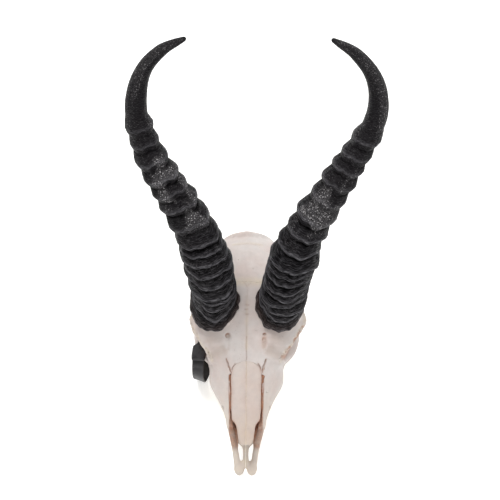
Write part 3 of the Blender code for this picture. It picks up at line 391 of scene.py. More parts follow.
# Colour of the bone along lines, as (line, reach, strength): pink where it is thin, warm where fat
# stays in it
PINK_LINES = (
    (((30.5, 88, 59), (34, 92.5, 62.5), (38, 97, 64)), 4.6, 0.9),
    (((14.4, 98, 76), (14.4, 91.5, 73)), 3.6, 0.5),
)
WARM_LINES = (
    (((-16, 142, 87), (0, 142, 88), (16, 142, 86)), 7.0, 0.55),
    (((0, 90, 71.5), (0, 110, 82), (0, 128, 89)), 2.2, 0.4),
    (((-12, 181, 72), (12, 181, 72)), 3.0, 0.35),
    (((0, 6, 15), (0, 24, 18)), 2.2, 0.9),
)
# Half width of the open nose that the tissue stains, as (y, x)
NOSE_WALL = ((10, 13.4), (36, 13.4), (40, 13.2), (71, 14.2), (80, 8.0))
# Cheek teeth from P2 to M3: (length, breadth, lobes)
TEETH = ((7.0, 6.2, 1), (8.6, 8.0, 1), (8.8, 9.6, 1), (11.2, 11.4, 2), (13.0, 12.0, 2), (14.0, 11.0, 2))
TOOTH_ROW_START = 51.0
TOOTH_ROW_X = ((50, 14.6), (62, 17.6), (76, 21.2), (92, 23.2), (112, 23.2))
TOOTH_SIDES = 96
TOOTH_ROOT_Z = 19.0
# By number of lobes, ribs on the outer side and middles of the lobes, as shares of the half length
TOOTH_RIBS = {1: (-0.85, 0.1, 0.85), 2: (-0.9, 0.0, 0.9)}
TOOTH_LOBES = {1: (0.0,), 2: (-0.5, 0.5)}
# Swell of the crown as (height, share of its full size)
TOOTH_SWELL = ((0, 0.965), (1.5, 0.985), (9, 0.97), (14, 0.92), (TOOTH_ROOT_Z, 0.84))

# Left horn: centre line from its base to its tip, and its sizes across and fore and aft
HORN_LINE = (
    (27.0, 123.4, 86.27), (32.8, 140.6, 132.4), (38.5, 151.7, 149.8), (52.1, 169.0, 174.0),
    (72.0, 191.4, 203.6), (81.1, 204.0, 218.4), (88.6, 218.4, 236.1), (88.3, 228.5, 248.8),
    (82.9, 237.0, 265.1), (70.3, 243.1, 282.7), (51.5, 244.0, 301.4),
)
HORN_BREADTH = (
    (0, 37.6), (50, 34.4), (72, 32.0), (104, 27.6), (120, 25.6), (146, 22.8), (168, 20.2),
    (192, 17.2), (208, 15.2), (227, 12.0), (250, 9.4), (266, 6.2), (276, 3.2),
)
HORN_DEPTH_RATIO = ((0, 0.87), (14, 0.95), (40, 1.02), (120, 1.02), (276, 1.0))
HORN_BASE_NORMAL = (0.0, -0.286, 0.958)
# Pedicle under a horn: (mm along the horn from its base, width, depth), and the radius of its cutter
PEDICLE = ((-12, 38, 36), (-4, 35.5, 31.4), (22, 34.5, 30))
PEDICLE_CUT = 19.8
# What is cut away below the floor, as (y, z), and half its width
FLOOR_CUT = ((-20, -30), (230, -30), (230, 0), (-20, 0))
FLOOR_CUT_HALF = 80
# How far both horns sway to the skull's left, low down and higher up, in mm
HORN_SWAY = (1.0, 6.0)
# How far the left horn bows forward and down, and the right one back and up, in mm
HORN_BOW = (2.4, 1.0)
# How far the rings dip to the front at the base and higher up, as a slope, and the mm between
RING_LEAN_BASE, RING_LEAN_HIGH, RING_LEAN_REACH = 0.80, 0.18, 26.0
# How far they dip to the inner side
RING_SIDE_LEAN = 0.2
# Where the crest of each ring lies along each horn, in mm from its base, and the horn's seed
HORN_RINGS = {
    "left": ((
        5.4, 11.6, 17.6, 25.4, 33.2, 40.0, 46.6, 53.6, 60.2, 74.9, 89.9, 104.4, 123.0, 137.4, 151.5,
        161.7, 175.5,
    ), 81),
    "right": ((
        6.8, 12.4, 21.1, 26.6, 32.2, 42.6, 51.6, 60.5, 69.0, 76.5, 92.4, 109.8, 122.6, 135.8, 150.5,
        165.9, 179.0,
    ), 85),
}
HORN_ROWS = 600
HORN_SIDES = 150
HORN_MAP_RADIUS = 17.0
HORN_TIP_FROM, HORN_TIP_RADIUS = 2.2, 2.25
# Unevenness of a horn: (stretch round and along it, size in mm, seed, height h and more height m,
# from and to), whose height is h + m times a smoothstep from one station to another. In turn: growth
# lines, ridges along the horn, lumps, and the rough foot
HORN_NOISE = (
    ((0.2, 0.2, 1.0), 3.2, 2, 0.10, 0.42, 190, 60), ((1, 1, 0.035), 1.5, 3, 0.10, 0.10, 150, 230),
    ((1, 1, 1), 9, 4, 0.3, 0.0, 0, 1), ((1, 1, 0.4), 2.6, 10, 0.0, 1.0, 14, 2),
)
RING_CREST_LOW, RING_CREST_HIGH = 0.20, 0.42
# Waves of the rings round the horn: (waves in a turn, height in mm)
RING_WAVES = ((3, 0.9), (5, 0.85), (8, 0.6), (13, 0.3))
# How far one ring stands out over the next, and the height of the thin bead on each lip
RING_STEP = 1.3
RING_BEAD = 0.45
# How much slimmer each horn is on the outer side of its base
BASE_TRIM = {"left": -0.6, "right": 2.2}
# Whitish scuffs on the front of each horn: (from, to) in mm from the base
SCUFFS = {"left": (100, 146), "right": (96, 158)}

# Tag: a plastic band looped round the right cheek bone, as (x, y, z) and the way of its width
BAND_LINE = (
    (-39.0, 97.0, 44.5, 1.0, -0.1, 0.0), (-40.0, 89.5, 42.5, 1.0, -0.15, 0.0),
    (-40.2, 83.0, 40.0, 1.0, -0.2, 0.0), (-40.2, 79.2, 34.0, 1.0, -0.25, 0.0),
    (-40.0, 79.0, 24.0, 1.0, -0.3, 0.0), (-39.6, 81.5, 12.0, 1.0, -0.36, 0.0),
    (-38.6, 84.4, 4.6, 1.0, -0.4, 0.0), (-37.0, 88.0, 3.4, 1.0, -0.3, -0.2),
    (-34.5, 93.5, 6.8, 0.9, 0.0, -0.42), (-33.2, 100.5, 10.6, 0.8, 0.0, -0.6),
    (-32.6, 109.0, 14.0, 0.75, 0.0, -0.66), (-32.0, 116.5, 19.0, 0.9, 0.0, -0.4),
    (-31.0, 119.8, 28.0, 1.0, 0.0, 0.0), (-31.0, 117.0, 36.0, 1.0, 0.0, 0.0),
    (-32.6, 110.0, 40.6, 1.0, 0.0, 0.0), (-36.0, 103.0, 43.4, 1.0, -0.05, 0.0),
)
LOCK_MIDDLE = (-39.6, 94.8, 47.6)
LOCK_WAY = (0.06, 0.95, 0.27)
# Outline of the lock as (across, along) in mm, its corners' rounding, and its layers as (height, inset)
LOCK_OUTLINE = (
    (-1.5, 7.25), (-5.0, 4.4), (-5.6, -3.4), (-5.3, -6.9), (-4.6, -7.3), (4.6, -7.3), (5.7, -6.2),
    (7.0, 1.4), (6.2, 3.6), (0.9, 6.9),
)
LOCK_ROUND = 0.55
LOCK_LAYERS = (
    (-2.3, 0.9), (-2.2, 0.5), (-1.6, 0.1), (-1.3, 0.0), (1.0, 0.0), (1.15, 0.05), (2.2, 1.15), (2.3, 1.4),
)
# Slot and groove cut in the lock, and the strap's tail in the slot: (outline, rounding, heights)
LOCK_SLOT = (((2.6, 1.7), (9.0, 1.7), (9.0, 4.0), (2.6, 4.0)), 0.4, (0.2, 3.4))
LOCK_GROOVE = (((-4.4, -5.2), (3.4, -5.2), (3.4, -4.7), (-4.4, -4.7)), 0.2, (1.95, 3.4))
LOCK_TAIL = (((3.2, 2.0), (5.4, 2.0), (5.0, 3.6), (3.6, 3.6)), 0.3, (0.0, 1.1, 1.25))
# Rounding of the strap's edges, and the turn between faces that shows as an edge of the lock
STRAP_ROUND = 0.34
SHARP_TURN = 0.6

# Camera: it looks down on the skull, steeply from the front
CAMERA_TILT = 22.0
CAMERA_ROLL = 0.5
CAMERA_AIM = (2.1, 164.3, 101.0)
CAMERA_DISTANCE = 1200.0
CAMERA_LENS = 106.67
CAMERA_CLIP = (0.05, 20.0)
SENSOR_WIDTH = 36.0

# Soft lamps: (name, place in metres, watts), their diameter in metres, the point that they face, and
# the white of the room low down and overhead
LIGHTS = (
    ("key", (-0.35, 0.66, 1.47), 15.4), ("fill", (0.85, 0.3, 1.25), 6.2), ("front", (-0.4, -1.1, 1.2), 4.8),
)
LAMP_SIZE = 0.8
LAMP_AIM = (0.0, 0.02, 0.12)
SKY_LOW, SKY_HIGH = 0.85, 0.42
SKY_FADE = 0.65
FLOOR_REACH = 4.0
FLOOR_LINES = 9


def linear(code):
    """Linear RGB of an sRGB hex colour: c / 12.92, or ((c + 0.055) / 1.055) to the power 2.4."""
    c = np.array([int(code[k:k + 2], 16) for k in (1, 3, 5)]) / 255
    return tuple(np.where(c <= 0.04045, c / 12.92, ((c + 0.055) / 1.055) ** 2.4))


def hermite(knots, values, t):
    """Smooth values at t: cubic steps between knots, with slopes from the neighbouring knots."""
    knots = np.asarray(knots, float)
    values = np.asarray(values, float)
    slopes = np.gradient(values, knots, axis=0)
    t = np.clip(t, knots[0], knots[-1])
    i = np.clip(np.searchsorted(knots, t, side="right") - 1, 0, len(knots) - 2)
    step = knots[i + 1] - knots[i]
    u = (t - knots[i]) / step
    if values.ndim > 1:
        u, step = u[:, None], step[:, None]
    a = values[i] * (2 * u**3 - 3 * u**2 + 1) + values[i + 1] * (3 * u**2 - 2 * u**3)
    return a + step * (slopes[i] * (u**3 - 2 * u**2 + u) + slopes[i + 1] * (u**3 - u**2))


def between(table, at):
    """Straight-line values at the places given, from a table of (place, value)."""
    places, values = np.array(table, float).T
    return np.interp(at, places, values)


def run_along(points):
    """Distance along a line of points, from 0 at the first."""
    return np.concatenate([[0], np.cumsum(np.linalg.norm(np.diff(points, axis=0), axis=1))])


def smooth_line(points, count):
    """Evenly spaced points on a smooth curve through the given ones."""
    points = np.array(points, float)
    knots = run_along(points)
    return hermite(knots, points, np.linspace(0, knots[-1], count))


def closed_curve(corners, per_side):
    """Closed Catmull-Rom curves through rows of corners, an array of (rows, corners, 3)."""
    u = np.linspace(0, 1, per_side, endpoint=False)[None, None, :, None]
    p0, p1, p2, p3 = (np.roll(corners, 1 - k, axis=1)[:, :, None, :] for k in range(4))
    curve = p1 + 0.5 * u * (p2 - p0 + u * (2 * p0 - 5 * p1 + 4 * p2 - p3 + u * (3 * (p1 - p2) + p3 - p0)))
    return curve.reshape(len(corners), -1, corners.shape[-1])


def once_round(count):
    """Evenly spaced angles in one turn."""
    return np.linspace(0, 2 * np.pi, count, endpoint=False)


def box_round(angle, power):
    """A rounded box of half size 1: |cos| and |sin| of the angle to a power, with their signs."""
    return [np.sign(f) * np.abs(f) ** power for f in (np.cos(angle), np.sin(angle))]


def quarter_round(d, r):
    """How far a face drops at distance d from its edge, rounded by r: r - sqrt(r^2 - (r - d)^2)."""
    return r - np.sqrt(np.maximum(r**2 - (r - np.clip(d, 0, r)) ** 2, 0))


def sided(points, side):
    """Points of the left side, or mirrored to the right one for side -1."""
    return np.array(points) * (side, 1, 1)


def unit(vectors):
    """The vectors at length 1."""
    return vectors / np.linalg.norm(vectors, axis=-1, keepdims=True)


def smoothstep(low, high, value):
    """From 0 at low to 1 at high, by 3 t^2 - 2 t^3."""
    t = np.clip((value - low) / (high - low), 0, 1)
    return t * t * (3 - 2 * t)


def noise(points, size, seed):
    """Smooth noise from -1 to 1: random numbers on a grid of size mm, blended by smoothsteps."""
    table = np.random.default_rng(seed).uniform(-1, 1, (NOISE_CELLS,) * 3).astype(np.float32)
    p = np.asarray(points) / size + 500.0
    cell = np.floor(p).astype(np.int64)
    u = p - cell
    u = u * u * (3 - 2 * u)
    total = np.zeros(p.shape[:-1])
    for corner in np.ndindex(2, 2, 2):
        weight = np.ones(p.shape[:-1])
        for axis in range(3):
            weight = weight * (u[..., axis] if corner[axis] else 1 - u[..., axis])
        x, y, z = ((cell[..., axis] + corner[axis]) % NOISE_CELLS for axis in range(3))
        total += weight * table[x, y, z]
    return total


def near_line(points, line, reach):
    """How near each point lies to a line of points: 1 on it, falling in a smooth bell to 0 at reach."""
    line = np.array(line, float)
    low, high = line.min(0) - reach, line.max(0) + reach
    chosen = np.flatnonzero(((points > low) & (points < high)).all(axis=1))
    found = np.zeros(len(points))
    p = points[chosen]
    best = np.full(len(p), np.inf)
    for a, b in zip(line[:-1], line[1:]):
        along = b - a
        part = np.clip(((p - a) @ along) / (along @ along), 0, 1)
        best = np.minimum(best, np.linalg.norm(p - a - part[:, None] * along, axis=1))
    found[chosen] = np.clip(1 - (best / reach) ** 2, 0, 1) ** 2
    return found


def strongest(points, lines):
    """The strongest pull of several lines, given as (line, reach, strength), on each point."""
    return np.max([strength * near_line(points, line, reach) for line, reach, strength in lines], axis=0)


def both(table):
    """Entries that start with a line, each for the left side and then mirrored to the right one."""
    return [(sided(line, side), *rest) for line, *rest in table for side, _ in SIDES]


def grid_faces(rows, sides, closed_rows=False):
    """Quads of a grid whose sides run round, and whose rows do too when closed_rows is set."""
    r, k = np.mgrid[0:rows if closed_rows else rows - 1, 0:sides]
    j, q = (k + 1) % sides, (r + 1) % rows
    return np.stack([r * sides + k, r * sides + j, q * sides + j, q * sides + k], -1).reshape(-1, 4)


def linked(name, data):
    """A new object of the given data, in the scene."""
    obj = bpy.data.objects.new(name, data)
    bpy.context.scene.collection.objects.link(obj)
    return obj


def solid(name, points, quads, fans=(), caps=()):
    """A closed mesh from arrays of points, quads, triangles and flat caps, turned to face outwards.

    The sign of the volume, the sum of each triangle's corner products, tells which way it faces."""
    points = np.asarray(points, float)
    quads = np.asarray(quads, int).reshape(-1, 4)
    fans = np.asarray(fans, int).reshape(-1, 3)
    triangles = [quads[:, (0, 1, 2)], quads[:, (0, 2, 3)], fans]
    triangles += [np.column_stack([np.full(len(c) - 2, c[0]), c[1:-1], c[2:]]) for c in caps]
    a, b, c = (points[np.concatenate(triangles)[:, k]] for k in range(3))
    faces = quads.tolist() + fans.tolist() + [list(cap) for cap in caps]
    if np.einsum("ij,ij->", a, np.cross(b, c)) < 0:
        faces = [face[::-1] for face in faces]
    mesh = bpy.data.meshes.new(name)
    mesh.from_pydata(points.tolist(), [], faces)
    return linked(name, mesh)


def skin(name, rings):
    """A closed body through rows of rings, an array of (rows, points, 3), with fans at both ends."""
    rows, sides, _ = rings.shape
    points = np.concatenate([rings.reshape(-1, 3), rings[0].mean(0)[None], rings[-1].mean(0)[None]])
    k = np.arange(sides)
    j = (k + 1) % sides
    last = (rows - 1) * sides
    start = np.stack([np.full(sides, rows * sides), j, k], -1)
    end = np.stack([np.full(sides, rows * sides + 1), last + k, last + j], -1)
    return solid(name, points, grid_faces(rows, sides), np.concatenate([start, end]))


def slab(name, upper, lower):
    """A closed body between two grids of points, joined round their edges."""
    return skin(name, np.concatenate([upper, lower[:, ::-1]], axis=1))


def guided_body(name, guides, step=2.5, per_side=6):
    """A body symmetric about x = 0 whose sections pass through guide lines, top to bottom."""
    start, end = guides[0][0][0], guides[0][-1][0]
    y = np.linspace(start, end, int((end - start) / step) + 1)
    half = []
    for guide in guides:
        g = np.array(guide, float)
        xz = hermite(g[:, 0], g[:, 1:], y)
        half.append(np.stack([xz[:, 0], y, xz[:, 1]], axis=1))
    other = [p * (-1, 1, 1) for p in half[-2:0:-1]]
    return skin(name, closed_curve(np.stack(half + other, axis=1), per_side))


def tube(name, points, widths, heights, up=(0, 0, 1), sides=24, rows=32):
    """A body of oval sections along a smooth line; heights run towards up, widths across it."""
    line = smooth_line(points, rows)
    way = unit(np.gradient(line, axis=0))
    up = np.array(up, float)
    rise = unit(up - (way @ up)[:, None] * way)
    across = np.cross(way, rise)
    at = np.linspace(0, 1, rows)
    wide, high = (np.interp(at, np.linspace(0, 1, len(size)), size) / 2 for size in (widths, heights))
    angle = once_round(sides)
    rings = line[:, None] + across[:, None] * (wide[:, None] * np.cos(angle))[..., None]
    return skin(name, rings + rise[:, None] * (high[:, None] * np.sin(angle))[..., None])


def ball(name, centre, radii, rows=16, sides=28):
    """An ellipsoid: circles of sin(t) stacked along z by cos(t)."""
    angle = once_round(sides)
    turn = np.linspace(0.02, np.pi - 0.02, rows)[:, None]
    unit_ball = np.stack([np.sin(turn) * np.cos(angle), np.sin(turn) * np.sin(angle),
                          np.cos(turn) + 0 * angle], axis=-1)
    return skin(name, np.array(centre) + unit_ball * np.array(radii))


def orbit_axes():
    """Unit vectors out of the left orbit, and across and up in the plane of its rim."""
    way = unit(np.array(ORBIT_FACING))
    across = unit(np.cross(way, (0, 0, 1.0)))
    return way, across, np.cross(across, way)


def cone(name, sections, radius, sink=(0, 0, 0), sides=48):
    """Round sections across the orbit's axis, as (mm outwards along it, mm added to the radius);
    sink moves the last section's middle."""
    way, across, rise = orbit_axes()
    angle = once_round(sides)[:, None]
    stops, more = np.array(sections, float).T
    part = (stops[0] - stops) / (stops[0] - stops[-1])
    middle = np.array(ORBIT_CENTRE) + way * stops[:, None] + np.array(sink) * (part**2)[:, None]
    spoke = across * np.cos(angle) + rise * np.sin(angle)
    return skin(name, middle[:, None] + (radius + more)[:, None, None] * spoke)


def carried(name, first, last):
    """A solid between two loops of as many points each, with flat ends."""
    n = len(first)
    k = np.arange(n)
    j = (k + 1) % n
    quads = np.stack([k, k + n, j + n, j], -1)
    return solid(name, np.concatenate([first, last]), quads, caps=[k, k[::-1] + n])


def prism(name, outline, x_from, x_to, grow=0.0):
    """A (y, z) outline, drawn anticlockwise, carried from x_from to x_to, first moved out by grow mm."""
    outline = np.array(outline, float)
    if grow:
        way = unit(np.roll(outline, -1, 0) - np.roll(outline, 1, 0))
        outline = outline + np.stack([way[:, 1], -way[:, 0]], -1) * grow
    return carried(name, *[np.column_stack([np.full(len(outline), x), outline]) for x in (x_from, x_to)])


def plan_prism(name, outline, top, bottom):
    """An (x, y) outline carried from the heights in bottom up to those in top."""
    levels = [np.broadcast_to(z, len(outline)) for z in (top, bottom)]
    return carried(name, *[np.column_stack([outline, z]) for z in levels])


def suture(name, profile, x_from, x_to, thick, wave, seed, dip=None):
    """A thin wall along a (y, z) profile carried across x, thrown to and fro by wave mm.

    The throw is smooth noise of two sizes, so that the bones lock together in teeth. With dip, a
    table of (distance from the midline, mm), the first part of the profile moves along ROOF_SLOPE
    by that much."""
    line = np.array(profile, float)
    knots = run_along(line)
    s = np.linspace(0, knots[-1], int(knots[-1] / SUTURE_STEP) + 2)
    y, z = np.interp(s, knots, line[:, 0]), np.interp(s, knots, line[:, 1])
    way = unit(np.stack([np.gradient(y, s), np.gradient(z, s)], -1))
    side = np.stack([-way[:, 1], way[:, 0]], -1)
    x = np.linspace(x_from, x_to, int(abs(x_to - x_from) / SUTURE_STEP) + 2)
    place = np.stack(np.meshgrid(s, x, indexing="ij") + [np.full((len(s), len(x)), seed * 7.3)], -1)
    throw = wave * (0.75 * noise(place, 2.6, seed) + 0.5 * noise(place, 1.5, seed + 1))
    throw *= (smoothstep(0, 3, s) * smoothstep(0, 3, s[-1] - s))[:, None]
    slide = np.zeros((len(s), len(x)))
    if dip:
        fade = 1 - smoothstep(knots[1] + 2, knots[2] + 4, s)
        slide = between(dip, np.abs(x))[None] * fade[:, None]
    walls = []
    for half in (thick / 2, -thick / 2):
        yy = y[:, None] + side[:, :1] * (throw + half) + ROOF_SLOPE[0] * slide
        zz = z[:, None] + side[:, 1:] * (throw + half) + ROOF_SLOPE[1] * slide
        walls.append(np.stack([np.broadcast_to(x, yy.shape), yy, zz], -1))
    return slab(name, *walls)


def mirrored(obj):
    """A copy on the other side of the midline."""
    copy = linked(obj.name + "_other", obj.data.copy())
    copy.data.transform(Matrix.Diagonal((-1, 1, 1, 1)))
    copy.data.flip_normals()
    return copy


def remove(objects):
    """Deletes objects, and their meshes where nothing else uses them."""
    for obj in objects:
        mesh = obj.data
        bpy.data.objects.remove(obj)
        if mesh.users == 0:
            bpy.data.meshes.remove(mesh)


def evaluate(obj):
    """Applies the object's modifiers."""
    graph = bpy.context.evaluated_depsgraph_get()
    mesh = bpy.data.meshes.new_from_object(obj.evaluated_get(graph))
    obj.modifiers.clear()
    obj.data = mesh


def read(items, name):
    """One vector of each item, as an array of (count, 3)."""
    values = np.empty(len(items) * 3, np.float32)
    items.foreach_get(name, values)
    return values.reshape(-1, 3).astype(float)


def positions(mesh):
    """Where each point of the mesh lies."""
    return read(mesh.vertices, "co")


def normals(mesh):
    """The way that the surface faces at each point."""
    return read(mesh.vertex_normals, "vector")


def write_positions(mesh, points):
    """Moves each point of the mesh to the place given."""
    mesh.vertices.foreach_set("co", np.asarray(points, np.float32).ravel())
    mesh.update()


def attribute(mesh, name, values):
    """A number at each vertex, which a material reads by its name."""
    layer = mesh.attributes.new(name, "FLOAT", "POINT")
    layer.data.foreach_set("value", np.asarray(values, np.float32))


def select(objects):
    """Selects only the given objects, with the first one active."""
    bpy.ops.object.select_all(action="DESELECT")
    for obj in objects:
        obj.select_set(True)
    bpy.context.view_layer.objects.active = objects[0]


def join(name, objects):
    """One mesh of several objects' meshes, which may overlap."""
    select(objects)
    bpy.ops.object.join()
    objects[0].name = name
    return objects[0]


def ease(obj, rounds):
    """Adds a modifier that moves each point halfway to its neighbours' middle, rounds times."""
    step = obj.modifiers.new("Smooth", "SMOOTH")
    step.factor, step.iterations = 0.5, rounds


def blend(body, voxel, rounds):
    """Makes one smooth surface of a body, or of several that overlap in one mesh."""
    remesh = body.modifiers.new("Remesh", "REMESH")
    remesh.mode, remesh.voxel_size = "VOXEL", voxel
    ease(body, rounds)
    evaluate(body)


def cut(body, tools):
    """Takes all the tools out of the body in one step, with the tools in a collection of their own."""
    group = bpy.data.collections.new("tools")
    for tool in tools:
        group.objects.link(tool)
    step = body.modifiers.new("Cut", "BOOLEAN")
    step.operation, step.solver = "DIFFERENCE", "MANIFOLD"
    step.operand_type, step.collection = "COLLECTION", group
    evaluate(body)
    remove(tools)
    bpy.data.collections.remove(group)


def surface_tree(body):
    """The body's surface, ready for lines to be dropped on to it."""
    graph = bpy.context.evaluated_depsgraph_get()
    return BVHTree.FromObject(body, graph)


def dropped(tree, points, way):
    """Where lines from the given points meet the surface, and its normals there."""
    hits = [tree.ray_cast(Vector(p), Vector(way))[:2] for p in points]
    hits = [hit for hit in hits if hit[0] is not None]
    return np.array([hit[0] for hit in hits]), np.array([hit[1] for hit in hits])


def seam(name, tree, line, way, width, depth, wander, seed):
    """A thin closed wedge that follows the surface along a line and reaches depth below it.

    Its sides wander by smooth noise, as a knit bone suture does, and it narrows to both ends."""
    path = smooth_line(line, max(int(run_along(np.array(line, float))[-1] / 0.5), 8))
    along = unit(np.gradient(path, axis=0))
    beside = unit(np.cross(along, np.array(way, float)))
    throw = wander * (noise(path, 1.9, seed) + 0.5 * noise(path, 0.9, seed + 1))
    places, facing = dropped(tree, path + beside * throw[:, None], way)
    if len(places) < 4:
        raise RuntimeError(f"the line {name} misses the skull")
    part = np.linspace(0, 1, len(places))
    half = width / 2 * (0.25 + 0.75 * np.sin(np.pi * part) ** 0.5)
    half *= 1 + 0.3 * noise(places, 2.2, seed + 2)
    side = unit(np.cross(unit(np.gradient(places, axis=0)), facing))
    top = places + facing * 0.5
    bottom = places - facing * (depth * (0.35 + 0.65 * np.sin(np.pi * part) ** 0.5))[:, None]
    rings = [top + side * half[:, None] * 1.4, top - side * half[:, None] * 1.4,
             bottom - side * half[:, None] * 0.55, bottom + side * half[:, None] * 0.55]
    return skin(name, np.stack(rings, axis=1))


def pit(name, tree, x, y, radius):
    """A small round hole into the top of the skull, wider at its mouth."""
    (place_,), (facing,) = dropped(tree, [(x, y, PIT_FROM)], (0, 0, -1))
    line = [place_ + facing * 0.6, place_ - facing * 0.5, place_ - facing * 1.5]
    wide = (2.8 * radius, 2 * radius, radius)
    return tube(name, line, wide, wide, up=(1, 0.3, 0), sides=12, rows=5)


def tubes(table):
    """A tube for each entry of a table of (line, widths across, heights, way of the height)."""
    return [tube(name, *sizes) for name, sizes in table.items()]


def rim_ring():
    """The raised rim of the orbit: a round bead in the plane of the opening, as a torus grid."""
    way, across, rise = orbit_axes()
    angle, turn = once_round(72)[:, None], once_round(16)[:, None]
    spoke = across * np.cos(angle) + rise * np.sin(angle)
    bead = (ORBIT_WALL / 2 + 0.3) * (spoke[:, None] * np.cos(turn) + way * np.sin(turn))
    grid = np.array(ORBIT_CENTRE) + (ORBIT_RADIUS + ORBIT_WALL / 2) * spoke[:, None] + bead
    return solid("rim", grid.reshape(-1, 3), grid_faces(len(angle), len(turn), closed_rows=True))


def orbit_back():
    """The way from the orbit to the temple, inside the bar behind the eye, as rounded boxes."""
    wide, high = box_round(once_round(40), 0.7)
    rings = [np.column_stack([x + a * wide, 0 * wide + y, z + b * high]) for y, x, a, z, b in ORBIT_BACK]
    return skin("orbit_back", np.array(rings, float))


def pedicle():
    """The short neck of bone under a horn, cut off at the horn's base."""
    base = np.array(HORN_LINE[0])
    along, wide, deep = np.array(PEDICLE).T
    line = base + unit(np.array(HORN_LINE[1]) - base) * along[:, None]
    return tube("pedicle", line, wide, deep, up=(0, -1, 0), sides=40, rows=8)


def nasal_z(x, y):
    """Height of the nasals' upper surface: a smooth line in y, less NASAL_CAMBER times x squared."""
    top = hermite(*np.array(NASAL_TOP).T, np.ravel(y))
    return top.reshape(np.shape(y)) - np.asarray(x) ** 2 * NASAL_CAMBER


def nasal_edge_x(y):
    """How far the nasals' outer edge stands from the midline at y."""
    edge = smooth_line(NASAL_EDGE, 400)
    return np.interp(y, edge[:, 0], edge[:, 1])


def bed_side(slit, seed):
    """One side of the opening that the nasals lie in: the nasals' edge and the slit beside it."""
    y = np.linspace(BED_FROM, BED_TO, 120)
    flat = np.column_stack([y, y * 0, y * 0])
    gap = between(slit, y) + (0.16 * noise(flat, 2.0, seed) + 0.2 * noise(flat, 0.9, seed + 1)) * (y < 71)
    x = nasal_edge_x(y) + gap
    front = np.array([(b, a) for a, b in NOSE_OPENING])
    return np.concatenate([front, np.column_stack([x, y])])


def nasal_bed():
    """What the nasals and the slits beside them take out of the face, open to the cavity."""
    left = bed_side(SLIT_LEFT, 3)
    right = bed_side(SLIT_RIGHT, 5) * (-1, 1)
    outline = np.concatenate([left, [(0.0, BED_END)], right[::-1]])
    floor = nasal_z(0, outline[:, 1]) - NASAL_THICK - BED_DEPTH
    return plan_prism("nasal_bed", outline, BED_TOP, floor)


def skull_body(voxel):
    """All the bones as one body: rounded forms blended, then hollowed, then blended finely, and
    last the bed of the nasals, whose edges stay thin."""
    bodies = [guided_body(name, guides) for name, guides in (
        ("face", FACE_GUIDES), ("frontal_roof", FRONTAL_GUIDES), ("braincase_shell", BRAINCASE_GUIDES))]
    paired = [cone("cup", ORBIT_CUP, ORBIT_RADIUS + ORBIT_WALL), rim_ring(), pedicle()] + tubes(BARS)
    paired += [ball(name, centre, radii) for name, (centre, radii) in KNOBS.items()]
    body = join("skull", bodies + paired + [mirrored(obj) for obj in paired])
    blend(body, ROUGH_GRAIN, ROUGH_ROUNDS)
    tools = [cone("orbit", ORBIT_HOLLOW, ORBIT_RADIUS, ORBIT_SINK), orbit_back()] + tubes(SIDE_HOLES)
    tools += [mirrored(obj) for obj in tools]
    cut(body, tools + [guided_body("cavity", CAVITY_GUIDES)] + tubes(MIDDLE_HOLES) + tubes(BROW_HOLES))
    blend(body, voxel, FINE_ROUNDS)
    cut(body, [nasal_bed()])
    return body


def sculpt(body):
    """Moves each point along its normal: ridges and hollows, the toothed brow, and fine unevenness."""
    mesh = body.data
    p, n = positions(mesh), normals(mesh)
    move = np.zeros(len(p))
    for line, reach, height in both(RELIEF) + list(RELIEF_ONE_SIDE):
        move += height * near_line(p, line, reach)
    for side, _ in SIDES:
        brow = near_line(p, sided(BROW_EDGE, side), BROW_EDGE_REACH)
        teeth = noise(p, BROW_TOOTH_LENGTH, 11 + side) + 0.5 * noise(p, BROW_TOOTH_LENGTH / 2, 13 + side)
        move += BROW_TEETH * brow * teeth
    move += sum(high * noise(p, size, seed) for size, high, seed in UNEVENNESS)
    # The thin walls of the nose are moved half as far
    inside = (np.abs(p[:, 0]) < 14) & (p[:, 1] > 16) & (p[:, 1] < 82) & (p[:, 2] > 20)
    move[inside & (n[:, 2] > -0.2)] *= 0.5
    write_positions(mesh, p + n * move[:, None])


def trim_tools():
    """Cutters that set the feet flat on the floor and the pedicles flat under their horns."""
    tools = [prism("below_floor", FLOOR_CUT, -FLOOR_CUT_HALF, FLOOR_CUT_HALF)]
    normal = np.array(HORN_BASE_NORMAL)
    fore = np.array((0, normal[2], -normal[1]))
    angle = once_round(64)[:, None]
    for side, _ in SIDES:
        low = sided(HORN_LINE[0], side) - normal * 0.15
        oval = np.cos(angle) * (PEDICLE_CUT, 0, 0) + np.sin(angle) * fore * PEDICLE_CUT
        tools.append(skin("pedicle_cut", np.stack([low + oval, low + oval + normal * 40])))
    return tools


def suture_tools(gap):
    """Thin walls along the sutures between the bones."""
    fine = gap * FINE_SUTURE
    tools = [suture("roof_suture", ROOF_SUTURE, -60, 60, fine, 0.35, 31, dip=ROOF_DIP)]
    tools.append(suture("coronal_suture", CORONAL_SUTURE, -37, 37, gap, 1.0, 33))
    face_half = ((-10, -10),) + CORONAL_SUTURE[:-4:-1] + ROOF_SUTURE[-3::-1] + ((-10, 86),)
    tools.append(prism("midline", face_half, -fine, fine, grow=SUTURE_REACH))
    cheek_half = CHEEK_SUTURE + ROOF_SUTURE[-2:1:-1] + ((88.5, 61),)
    for side, _ in SIDES:
        tools += [suture(name, profile, inner * side, outer * side, fine, wave, seed + side)
                  for name, (profile, inner, outer, wave, seed) in SIDE_SUTURES.items()]
        x = CHEEK_INNER_X * side
        tools.append(prism("cheek_inner", cheek_half, x - fine, x + fine, grow=SUTURE_REACH))
    return tools


